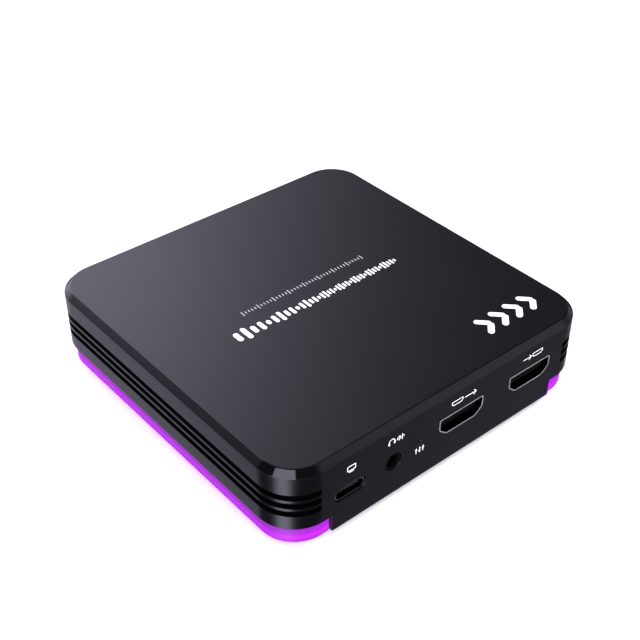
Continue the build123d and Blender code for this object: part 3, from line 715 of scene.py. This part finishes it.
def drop_skirt(bm, low):
    """The socket face reaches down over the light band."""
    lip = low.z + LIP_HEIGHT
    front = Vector((0, low.y, lip))

    def front_lip():
        return min(level_faces(bm, -1, lip), key=lambda f: (f.calc_center_median() - front).length)

    for x in (-SKIRT_HALF_WIDTH, SKIRT_HALF_WIDTH):
        bmesh.ops.bisect_plane(bm, geom=around([front_lip()]), plane_co=(x, 0, 0), plane_no=(1, 0, 0))
    skirt, = bmesh.ops.extrude_discrete_faces(bm, faces=[front_lip()])["faces"]
    bmesh.ops.translate(bm, verts=skirt.verts, vec=(0, 0, low.z - lip))


def video_outline(bm):
    """A video socket's six-sided outline on the metal's centre line, at the origin, facing +Y."""
    half, top = VIDEO_WIDTH / 2, VIDEO_HEIGHT / 2
    places = [(half, top), (half, top - VIDEO_SIDE), (half - VIDEO_NOTCH, -top),
              (VIDEO_NOTCH - half, -top), (-half, top - VIDEO_SIDE), (-half, top)]
    verts = [bm.verts.new((x, 0, z)) for x, z in places]
    bm.faces.new(verts)
    round_corners(bm, verts, VIDEO_CORNER, SMALL_CORNER_STEPS)


def usb_outline(bm):
    """The type C shell's slot with half round ends, at the origin, facing +Y."""
    verts = [bm.verts.new((x * USB_WIDTH / 2, 0, z * USB_HEIGHT / 2))
             for x, z in ((1, 1), (1, -1), (-1, -1), (-1, 1))]
    bm.faces.new(verts)
    round_corners(bm, verts, USB_HEIGHT / 2 * SLOT_ROUND, CORNER_STEPS // 2)


def round_outline(bm, radius):
    """A disc at the origin, facing +Y."""
    bmesh.ops.create_circle(bm, cap_ends=True, segments=2 * CORNER_STEPS, radius=radius, matrix=TIP_BACK)


def grow_outline(bm, growth):
    """Widens the outline all round."""
    face, = bm.faces
    rim = bmesh.ops.inset_region(bm, faces=[face], thickness=-growth, use_even_offset=True,
                                 use_boundary=True)["faces"]
    bmesh.ops.delete(bm, geom=rim, context="FACES")


def mouth_middle(node, drop):
    """Middle of a socket's mouth, across and up, a drop below its node's top."""
    low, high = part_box(node)
    return (low.x + high.x) / 2, high.z - drop


def opening_plug(draw, gap, x, z, front):
    """A plug with a flared mouth that cuts an opening through the socket face."""
    bm = bmesh.new()
    draw(bm)
    bm.normal_update()
    grow_outline(bm, gap + MOUTH_FLARE)
    face, = bm.faces
    for inward, forward in ((0, CUT_OVERRUN), (MOUTH_FLARE, MOUTH_FLARE), (0, WALL + CUT_OVERRUN)):
        bmesh.ops.inset_region(bm, faces=[face], thickness=inward, depth=forward, use_even_offset=True,
                               use_boundary=True)
    bmesh.ops.edgeloop_fill(bm, edges=[e for e in bm.edges if e.is_boundary])
    bmesh.ops.recalc_face_normals(bm, faces=bm.faces)
    bmesh.ops.translate(bm, verts=bm.verts, vec=(x, front - CUT_OVERRUN, z))
    return as_object("plug", bm)


def cut_openings(housing, front):
    """The mouths of the two video sockets, the type C socket, the jack and the pin hole."""
    pin_low, pin_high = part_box("mix_switch_plunger")
    pin = (pin_low + pin_high) / 2
    mouths = [(video_outline, VIDEO_METAL / 2 + VIDEO_GAP, *mouth_middle(node, VIDEO_DROP))
              for node in VIDEO_SHELLS]
    mouths += [
        (usb_outline, USB_GAP, *mouth_middle("usb_c_shell", USB_DROP)),
        (lambda bm: round_outline(bm, NOSE_RADIUS), JACK_GAP, *mouth_middle("audio_jack_body", JACK_RADIUS)),
        (lambda bm: round_outline(bm, PIN_HOLE_RADIUS), 0, pin.x, pin.z),
    ]
    for mouth in mouths:
        combine(housing, opening_plug(*mouth, front), "DIFFERENCE")


def add_bosses_and_ribs(housing, high):
    """Inside of the moulding: corner screw bosses with webs, and a rib grid that stiffens the top."""
    ceiling = high.z - TOP_WALL
    inside = bmesh.new()
    pilots = bmesh.new()
    for side_x in (-1, 1):
        for side_y in (-1, 1):
            x, y = side_x * BOSS_PLACE.x, side_y * BOSS_PLACE.y
            post(inside, x, y, BOSS_RADIUS, BOSS_BOTTOM, ceiling + TOP_WALL / 2)
            post(pilots, x, y, PILOT_RADIUS, BOSS_BOTTOM - CUT_OVERRUN, PILOT_TOP)
            reach = sorted((x, side_x * (high.x - WALL / 2)))
            block(inside, (reach[0], y - WEB_THICKNESS / 2, ceiling - WEB_HEIGHT),
                  (reach[1], y + WEB_THICKNESS / 2, ceiling + TOP_WALL / 2))
    half = RIB_THICKNESS / 2
    bottom, top = ceiling - RIB_HEIGHT, ceiling + half
    for number in range(RIB_COUNT):
        place = (2 * number / (RIB_COUNT - 1) - 1) * (RIB_REACH - half)
        block(inside, (place - half, -RIB_REACH, bottom), (place + half, RIB_REACH, top))
        block(inside, (-RIB_REACH, place - half, bottom), (RIB_REACH, place + half, top))
    combine(housing, as_object("inside", inside), "UNION")
    combine(housing, as_object("pilots", pilots), "DIFFERENCE")


def make_housing(finishes):
    """The upper housing as one moulding, with softened edges, its inside and its openings."""
    low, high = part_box("upper_housing")
    bm = bmesh.new()
    add_top_and_cavity(bm, low, high)
    sink_grooves(bm, low, high)
    drop_skirt(bm, low)
    top, = level_faces(bm, 1, high.z)
    round_edges(bm, top.edges, CREASE_ROUND, CREASE_STEPS)
    corners = [e for e in bm.edges if e.is_convex and e.calc_face_angle() > EDGE_ANGLE
               and not on_groove((e.verts[0].co + e.verts[1].co) / 2, low)]
    round_edges(bm, corners, EDGE_ROUND, EDGE_STEPS)
    housing = as_object("housing", bm)
    wear(housing, finishes["housing_plastic"], polished_abs_edge(), shaded_abs_groove())
    add_bosses_and_ribs(housing, high)
    cut_openings(housing, low.y)
    soften(housing)
    on_casing(housing, "housing_plastic", "upper_housing")


def keep_rim(bm, face, width):
    """Cuts a flat face away up to a rim of that width."""
    bmesh.ops.inset_region(bm, faces=[face], thickness=width, use_even_offset=True, use_boundary=True)
    bmesh.ops.delete(bm, geom=[face], context="FACES")


def draw_out(bm, length):
    """Gives flat faces their thickness along Y, with the closed shape's faces outwards."""
    made = bmesh.ops.extrude_face_region(bm, geom=bm.faces[:])["geom"]
    moved = [v for v in made if isinstance(v, bmesh.types.BMVert)]
    bmesh.ops.translate(bm, verts=moved, vec=(0, length, 0))
    bmesh.ops.recalc_face_normals(bm, faces=bm.faces)
    if bm.calc_volume(signed=True) < 0:
        bmesh.ops.reverse_faces(bm, faces=bm.faces)


def add_part(bm, part):
    """Adds one finished bmesh to another."""
    mesh = bpy.data.meshes.new("part")
    part.to_mesh(mesh)
    part.free()
    bm.from_mesh(mesh)
    bpy.data.meshes.remove(mesh)


def folded_wall(bm, thickness, length):
    """Turns an outline into a sheet metal wall inside it, drawn along +Y, with a rolled front rim."""
    face, = bm.faces
    keep_rim(bm, face, thickness)
    draw_out(bm, length)
    rim = [e for e in bm.edges
           if max(v.co.y for v in e.verts) < NEAR and e.calc_face_angle() > EDGE_ANGLE]
    round_edges(bm, rim, thickness * RIM_SHARE, RIM_STEPS)


def add_legs(bm, x, z, spread, metal, low, high):
    """Two pairs of legs from the shell's middle down to its node's lowest level."""
    for y in (low.y + LEG_FRONT, high.y - LEG_BACK - LEG_WIDTH):
        for middle in (x - spread, x + spread):
            block(bm, (middle - metal / 2, y, low.z), (middle + metal / 2, y + LEG_WIDTH, z))


def spring_finger(bm, x, z, inward, front):
    """A springy tongue of the shell's sheet that dips towards the plug: inward is 1 for down, -1 for up."""
    finger = bmesh.new()
    bottom, top = sorted((z, z - inward * FINGER_METAL))
    block(finger, (x - FINGER_WIDTH / 2, front, bottom), (x + FINGER_WIDTH / 2, front + FINGER_LENGTH, top))
    for share in FINGER_BENDS:
        place = (0, front + FINGER_LENGTH * share, 0)
        bmesh.ops.bisect_plane(finger, geom=around(finger.faces[:]), plane_co=place, plane_no=(0, 1, 0))
    for vert in finger.verts:
        share = (vert.co.y - front) / FINGER_LENGTH
        vert.co.z -= inward * FINGER_DIP * math.sin(math.pi * share)
    add_part(bm, finger)


def fit_piece(name, bm, finish, slot, *nodes):
    """Makes a finished piece of one material with smooth rounds, and puts it on the casing."""
    piece = as_object(name, bm)
    wear(piece, finish)
    soften(piece)
    on_casing(piece, slot, *nodes)


def make_video_shell(node, finish):
    """Folded shell of a video socket, with its rolled rim, four legs and four spring fingers."""
    low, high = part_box(node)
    x, z = mouth_middle(node, VIDEO_DROP)
    bm = bmesh.new()
    video_outline(bm)
    bm.normal_update()
    grow_outline(bm, VIDEO_METAL / 2)
    folded_wall(bm, VIDEO_METAL, high.y - low.y)
    bmesh.ops.translate(bm, verts=bm.verts, vec=(x, low.y, z))
    add_legs(bm, x, z, VIDEO_WIDTH / 2, VIDEO_LEG_METAL, low, high)
    inner = (VIDEO_HEIGHT - VIDEO_METAL) / 2
    for side in (-1, 1):
        spring_finger(bm, x + side * UPPER_FINGER_SPREAD, z + inner, 1, low.y + FINGER_START)
        spring_finger(bm, x + side * LOWER_FINGER_SPREAD, z - inner, -1, low.y + FINGER_START)
    fit_piece(node.replace("shell", "sleeve"), bm, finish, "socket_metal", node)


def make_usb_shell(finish):
    """Drawn shell of the type C socket, with its rolled rim and four legs."""
    low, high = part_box("usb_c_shell")
    x, z = mouth_middle("usb_c_shell", USB_DROP)
    bm = bmesh.new()
    usb_outline(bm)
    bm.normal_update()
    folded_wall(bm, USB_METAL, high.y - low.y)
    bmesh.ops.translate(bm, verts=bm.verts, vec=(x, low.y, z))
    add_legs(bm, x, z, (USB_WIDTH - USB_METAL) / 2, USB_LEG_METAL, low, high)
    fit_piece("usb_c_sleeve", bm, finish, "socket_metal", "usb_c_shell")


def make_usb_plate(finish):
    """Steel plate inside the type C tongue, which shows along its front and sides."""
    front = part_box("usb_c_tongue")[0].y
    x, z = mouth_middle("usb_c_shell", USB_DROP)
    bm = bmesh.new()
    verts = block(bm, (x - PLATE_WIDTH / 2, front - PLATE_PROUD, z - PLATE_METAL / 2),
                  (x + PLATE_WIDTH / 2, front + PLATE_LENGTH, z + PLATE_METAL / 2))
    round_edges(bm, upright_edges(verts), PLATE_CORNER, EDGE_STEPS)
    fit_piece("usb_c_mid_plate", bm, finish, "switch_metal")


def make_jack(body, finish):
    """The jack's moulding with a slimmer nose and softened edges, from a copy of its CAD mesh."""
    x, z = mouth_middle("audio_jack_body", JACK_RADIUS)
    bm = bmesh.new()
    bm.from_mesh(body.data)
    bmesh.ops.remove_doubles(bm, verts=bm.verts, dist=WELD)
    bmesh.ops.dissolve_limit(bm, angle_limit=FLAT_ANGLE, verts=bm.verts, edges=bm.edges)
    for vert in bm.verts:
        aside = math.hypot(vert.co.x - x, vert.co.z - z)
        if abs(aside - JACK_RADIUS) < NEAR:
            vert.co.x = x + (vert.co.x - x) * NOSE_RADIUS / aside
            vert.co.z = z + (vert.co.z - z) * NOSE_RADIUS / aside
    sharp = [e for e in bm.edges if e.is_manifold and e.is_convex and e.calc_face_angle() > EDGE_ANGLE]
    round_edges(bm, sharp, JACK_ROUND, EDGE_STEPS)
    fit_piece("audio_jack_moulding", bm, finish, "jack_plastic", "audio_jack_body")


def sheet(bm, place, width, height):
    """The corners of a flat oblong at that place, which faces -Y there."""
    place = place @ TIP_FORWARD @ Matrix.Diagonal((width, height, 1, 1))
    return bmesh.ops.create_grid(bm, x_segments=1, y_segments=1, size=0.5, matrix=place)["verts"]


def bar(bm, x, z, width, height, tilt=0.0):
    """A flat bar with round ends, facing -Y, a hair above the bars before it so that none share a face."""
    place = Matrix.Translation((x, -HAIR * len(bm.faces), z)) @ Matrix.Rotation(math.radians(tilt), 4, "Y")
    round_corners(bm, sheet(bm, place, width, height), min(width, height) * BAR_ROUND, BAR_STEPS)


def frame_line(bm, x, z, width, height, corner):
    """The outline of a rounded oblong, facing -Y."""
    corners = sheet(bm, Matrix.Translation((x, 0, z)), width, height)
    face, = round_corners(bm, corners, corner, SMALL_CORNER_STEPS)["verts"][0].link_faces
    keep_rim(bm, face, LINE)


def arch(bm, x, z, radius):
    """The upper half of a ring, facing -Y."""
    place = Matrix.Translation((x, 0, z)) @ TIP_FORWARD
    verts = bmesh.ops.create_circle(bm, cap_ends=True, segments=2 * CORNER_STEPS, radius=radius,
                                    matrix=place)["verts"]
    face, = verts[0].link_faces
    ring = bmesh.ops.inset_region(bm, faces=[face], thickness=LINE, use_even_offset=True,
                                  use_boundary=True)["faces"]
    bmesh.ops.delete(bm, geom=[face], context="FACES")
    bmesh.ops.bisect_plane(bm, geom=around(ring), plane_co=(0, 0, z), plane_no=(0, 0, -1),
                           clear_outer=True)


def arrow(bm, x, length):
    """An arrow that points to +X, facing -Y."""
    bar(bm, x, 0, length, LINE)
    for side in (-1, 1):
        bar(bm, x + length / 2 - HEAD_BACK, side * HEAD_RISE, ARROW_HEAD, LINE, side * SLANT)


def waveform(bm):
    """Bars of an audio wave: bold at the left and finer towards the right."""
    x = WAVE_START
    number = 0
    while x < WAVE_END:
        thinned = min(1.0, (x - WAVE_START) / (WAVE_END - WAVE_START) / WAVE_THINS)
        width = WAVE_BOLD + (WAVE_FINE - WAVE_BOLD) * thinned
        tallest = WAVE_TALL + (WAVE_LOW - WAVE_TALL) * thinned
        swell = math.sin(WAVE_BEAT * number) * math.cos(WAVE_SWELL * number)
        height = tallest * (WAVE_MEAN + (1 - WAVE_MEAN) * swell)
        bar(bm, x + width / 2, 0, width, max(width * WAVE_LEAST, height))
        x += width * WAVE_PITCH
        number += 1


def ruler(bm):
    """Ticks of a time line, the first of each group taller."""
    for number in range(RULER_TICKS):
        x = (number - (RULER_TICKS - 1) / 2) * RULER_PITCH
        bar(bm, x, 0, TICK_WIDTH, SHORT_TICK if number % RULER_GROUP else TALL_TICK)


def chevrons(bm):
    """Bold chevrons in a row."""
    for number in range(CHEVRONS):
        for side in (-1, 1):
            bar(bm, number * CHEVRON_PITCH, side * CHEVRON_RISE, CHEVRON_ARM, CHEVRON_BOLD, side * SLANT)


def screen_mark(bm):
    frame_line(bm, 0, SCREEN_LIFT, SCREEN_WIDTH, SCREEN_HEIGHT, SCREEN_CORNER)
    bar(bm, 0, -FOOT_DROP, FOOT_WIDTH, LINE)


def headphone_mark(bm):
    arch(bm, HEADPHONE_X, 0, HEADBAND_RADIUS)
    for side in (-1, 1):
        bar(bm, HEADPHONE_X + side * EARPIECE_SPREAD, -EARPIECE_DROP, EARPIECE_WIDTH, EARPIECE_HEIGHT)
    for number, height in enumerate(LEVEL_HEIGHTS):
        bar(bm, LEVEL_X + LEVEL_PITCH * number, 0, LINE, height * MM)


def slider_mark(bm):
    for number, lift in enumerate(SLIDER_LIFTS):
        x = (number - 1) * SLIDER_PITCH
        bar(bm, x, 0, SLIDER_LINE, SLIDER_HEIGHT)
        bar(bm, x, lift * MM, KNOB_WIDTH, KNOB_HEIGHT)


def socket_line(bm, x):
    """A small outline of the video socket, facing -Y."""
    drawing = bmesh.new()
    video_outline(drawing)
    drawing.normal_update()
    place = Matrix.Translation((x, 0, 0)) @ Matrix.Scale(SOCKET_SCALE, 4)
    bmesh.ops.transform(drawing, matrix=place, verts=drawing.verts)
    face, = drawing.faces
    keep_rim(drawing, face, LINE)
    add_part(bm, drawing)


def out_mark(bm):
    socket_line(bm, SOCKET_OUT_X)
    arrow(bm, ARROW_OUT_X, ARROW_OUT_LENGTH)


def in_mark(bm):
    arrow(bm, ARROW_IN_X, ARROW_IN_LENGTH)
    socket_line(bm, SOCKET_IN_X)


def printed(name, draw, place, ink):
    """A printed film: the drawing gets its thickness and its place on the housing."""
    bm = bmesh.new()
    draw(bm)
    draw_out(bm, -INK_THICK)
    bmesh.ops.transform(bm, matrix=place, verts=bm.verts)
    film = as_object(name, bm)
    wear(film, ink)
    on_casing(film, "housing_plastic")


def make_marks():
    """Plain generic marks where such a box is printed."""
    low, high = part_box("upper_housing")
    sunk = INK_THICK - INK_PROUD
    white, grey = pad_ink(), thin_pad_ink()
    for name, draw, (x, y), ink in (
            ("wave_mark", waveform, WAVE_PLACE, white),
            ("ruler_mark", ruler, RULER_PLACE, grey),
            ("chevron_mark", chevrons, CHEVRON_PLACE, white)):
        printed(name, draw, Matrix.Translation((x * MM, y * MM, high.z - sunk)) @ TIP_BACK, ink)
    for name, draw, (x, z) in (
            ("computer_mark", screen_mark, SCREEN_PLACE),
            ("audio_mark", headphone_mark, HEADPHONE_PLACE),
            ("mix_mark", slider_mark, SLIDER_PLACE),
            ("video_out_mark", out_mark, OUT_PLACE),
            ("video_in_mark", in_mark, IN_PLACE)):
        printed(name, draw, Matrix.Translation((x * MM, low.y + sunk, z * MM)), white)


def make_finishes():
    """One finish for each material slot of the record."""
    guide_low, guide_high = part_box("light_guide")
    return {
        "housing_plastic": satin_moulded_abs(),
        "base_plastic": matt_moulded_abs(),
        "light_guide": lit_milky_guide(guide_low, guide_high),
        "light_strip": white_printed_strip(),
        "emitter": glowing_resin(),
        "connector_plastic": cream_nylon(),
        "foot_rubber": matt_rubber(),
        "screw_steel": black_zinc(),
        "board": solder_resist(),
        "socket_metal": nickel_plate(),
        "socket_plastic": black_insulator(),
        "contact_metal": gold_flash(),
        "jack_plastic": jack_nylon(),
        "switch_plastic": switch_nylon(),
        "switch_metal": stamped_cover(),
        "chip_plastic": chip_epoxy(),
        "thermal_pad": silicone_pad(),
        "sink_aluminium": anodised_extrusion(),
        "inductor": pressed_ferrite(),
        "capacitor_can": drawn_can(),
        "crystal_can": welded_lid(),
        "ceramic": fired_ceramic(),
    }


def make_camera():
    data = bpy.data.cameras.new("camera")
    data.lens = CAMERA_LENS
    data.sensor_width = SENSOR_WIDTH
    camera = bpy.data.objects.new("camera", data)
    bpy.context.scene.collection.objects.link(camera)
    aim = (CAMERA_TARGET - CAMERA_PLACE).to_track_quat("-Z", "Y").to_matrix().to_4x4()
    roll = Matrix.Rotation(math.radians(CAMERA_ROLL), 4, "Z")
    camera.matrix_world = Matrix.Translation(CAMERA_PLACE) @ aim @ roll
    bpy.context.scene.camera = camera


def studio_board():
    # Matt white card under the box: dull, and all but even in tone.
    return moulded("pale studio board", "#f2f2f2", "#eeeeee", roughness=0.9, spread=0.02, patch=500 * MM,
                   grain=5 * MM, depth=0.0)


def make_floor():
    """A plain pale floor, just under the feet."""
    bm = bmesh.new()
    place = Matrix.Translation((0, 0, -FLOOR_DROP))
    bmesh.ops.create_grid(bm, x_segments=1, y_segments=1, size=FLOOR_REACH, matrix=place)
    floor = as_object("floor", bm)
    wear(floor, studio_board())
    floor.visible_glossy = False


def soft_box(world, azimuth, elevation, middle, half_width, edge, low, high, fade, strength):
    """One light of the studio: a span in azimuth and elevation, in degrees, with soft edges."""
    turned = add(world, "ShaderNodeMath", {0: azimuth, 1: math.radians(middle)}, operation="SUBTRACT")
    wrapped = add(world, "ShaderNodeMath", {0: turned.outputs[0], 1: math.pi, 2: -math.pi}, operation="WRAP")
    aside = add(world, "ShaderNodeMath", {0: wrapped.outputs[0]}, operation="ABSOLUTE").outputs[0]
    total = strength
    for value, level, soft, before, after in (
            (aside, half_width, edge, 1.0, 0.0),
            (elevation, low, fade, 0.0, 1.0),
            (elevation, high, fade, 1.0, 0.0)):
        share = add(world, "ShaderNodeMapRange",
                    {"Value": value, "From Min": math.radians(level - soft),
                     "From Max": math.radians(level + soft), "To Min": before, "To Max": after},
                    interpolation_type="SMOOTHSTEP").outputs["Result"]
        total = add(world, "ShaderNodeMath", {0: share, 1: total}, operation="MULTIPLY").outputs[0]
    return total


def back_light(world, direction, height):
    """One big soft light that fades evenly all round its middle, and stops below its top edge."""
    azimuth, elevation = math.radians(BACK_AZIMUTH), math.radians(BACK_ELEVATION)
    axis = Vector((math.cos(azimuth) * math.cos(elevation), math.sin(azimuth) * math.cos(elevation),
                   math.sin(elevation)))
    toward = add(world, "ShaderNodeVectorMath", {0: direction, 1: axis}, operation="DOT_PRODUCT")
    faced = add(world, "ShaderNodeMath", {0: toward.outputs["Value"], 1: 0.0}, operation="MAXIMUM")
    faded = add(world, "ShaderNodeMath", {0: faced.outputs[0], 1: BACK_SHARPNESS}, operation="POWER")
    raised = add(world, "ShaderNodeMath", {0: faded.outputs[0], 1: BACK_STRENGTH}, operation="MULTIPLY")
    limited = add(world, "ShaderNodeMath", {0: raised.outputs[0], 1: BACK_LIMIT}, operation="MINIMUM")
    below = add(world, "ShaderNodeMapRange",
                {"Value": height, "From Min": math.radians(BACK_TOP - BACK_TOP_EDGE),
                 "From Max": math.radians(BACK_TOP + BACK_TOP_EDGE), "To Min": 1.0, "To Max": 0.0},
                interpolation_type="SMOOTHSTEP").outputs["Result"]
    return add(world, "ShaderNodeMath", {0: limited.outputs[0], 1: below}, operation="MULTIPLY").outputs[0]


def hang_panel(name, place, power):
    """A soft panel that lights the floor and the marks; the object's sheen mirrors the studio instead."""
    panel = bpy.data.lights.new(name, "AREA")
    panel.size = PANEL_SIZE
    panel.energy = power
    hung = bpy.data.objects.new(name, panel)
    target = Vector((0, 0, min(place.z, PANEL_SIZE / 2)))
    aim = (target - place).to_track_quat("-Z", "Y").to_matrix().to_4x4()
    hung.matrix_world = Matrix.Translation(place) @ aim
    hung.visible_glossy = False
    bpy.context.scene.collection.objects.link(hung)


def make_studio():
    """Soft white studio: the round back light and the soft boxes, and panels overhead and on four sides."""
    world = bpy.data.worlds.new("studio")
    bpy.context.scene.world = world
    world.use_nodes = True
    world.node_tree.nodes.clear()
    direction = add(world, "ShaderNodeTexCoord").outputs["Generated"]
    parts = add(world, "ShaderNodeSeparateXYZ", {"Vector": direction}).outputs
    azimuth = add(world, "ShaderNodeMath", {0: parts["Y"], 1: parts["X"]}, operation="ARCTAN2").outputs[0]
    elevation = add(world, "ShaderNodeMath", {0: parts["Z"]}, operation="ARCSINE").outputs[0]
    total = STUDIO_DIM
    for light in (back_light(world, direction, elevation),
                  *(soft_box(world, azimuth, elevation, *box) for box in SOFT_BOXES.values())):
        total = add(world, "ShaderNodeMath", {0: light, 1: total}, operation="ADD").outputs[0]
    mirrored = add(world, "ShaderNodeBackground", {"Strength": total, "Color": linear(STUDIO_TINT)})
    backdrop = add(world, "ShaderNodeBackground", {"Strength": 1.0, "Color": linear("#ffffff")})
    straight = add(world, "ShaderNodeLightPath").outputs["Is Camera Ray"]
    mixed = add(world, "ShaderNodeMixShader",
                {0: straight, 1: mirrored.outputs["Background"], 2: backdrop.outputs["Background"]})
    add(world, "ShaderNodeOutputWorld", {"Surface": mixed.outputs["Shader"]})

    hang_panel("overhead_panel", Vector((0, 0, PANEL_DISTANCE)), OVERHEAD_POWER)
    for number, power in enumerate(SIDE_POWERS):
        turn = 2 * math.pi * number / len(SIDE_POWERS)
        place = Vector((math.cos(turn), math.sin(turn), 0)) * PANEL_DISTANCE
        hang_panel("side_panel", place + Vector((0, 0, PANEL_SIZE / 2)), power)


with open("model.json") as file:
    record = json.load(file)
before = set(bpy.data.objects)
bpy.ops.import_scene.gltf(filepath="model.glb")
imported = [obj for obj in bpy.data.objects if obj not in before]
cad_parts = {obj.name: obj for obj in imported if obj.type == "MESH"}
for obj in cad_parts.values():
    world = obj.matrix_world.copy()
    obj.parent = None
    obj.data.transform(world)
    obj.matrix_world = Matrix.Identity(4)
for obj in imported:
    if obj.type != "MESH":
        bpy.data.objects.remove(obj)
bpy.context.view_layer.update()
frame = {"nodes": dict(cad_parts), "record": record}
bpy.context.scene.view_settings.view_transform = "Standard"

finishes = make_finishes()
for part in frame["record"]["subparts"]:
    wear(frame["nodes"][part["node"]], finishes[part["material_slot"]])
make_housing(finishes)
for shell in VIDEO_SHELLS:
    make_video_shell(shell, sheared_rim_highlight(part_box(shell)[0].y))
make_usb_shell(drawn_rim_highlight(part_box("usb_c_shell")[0].y))
make_usb_plate(finishes["switch_metal"])
make_jack(frame["nodes"]["audio_jack_body"], finishes["jack_plastic"])
make_marks()

make_camera()
make_floor()
make_studio()
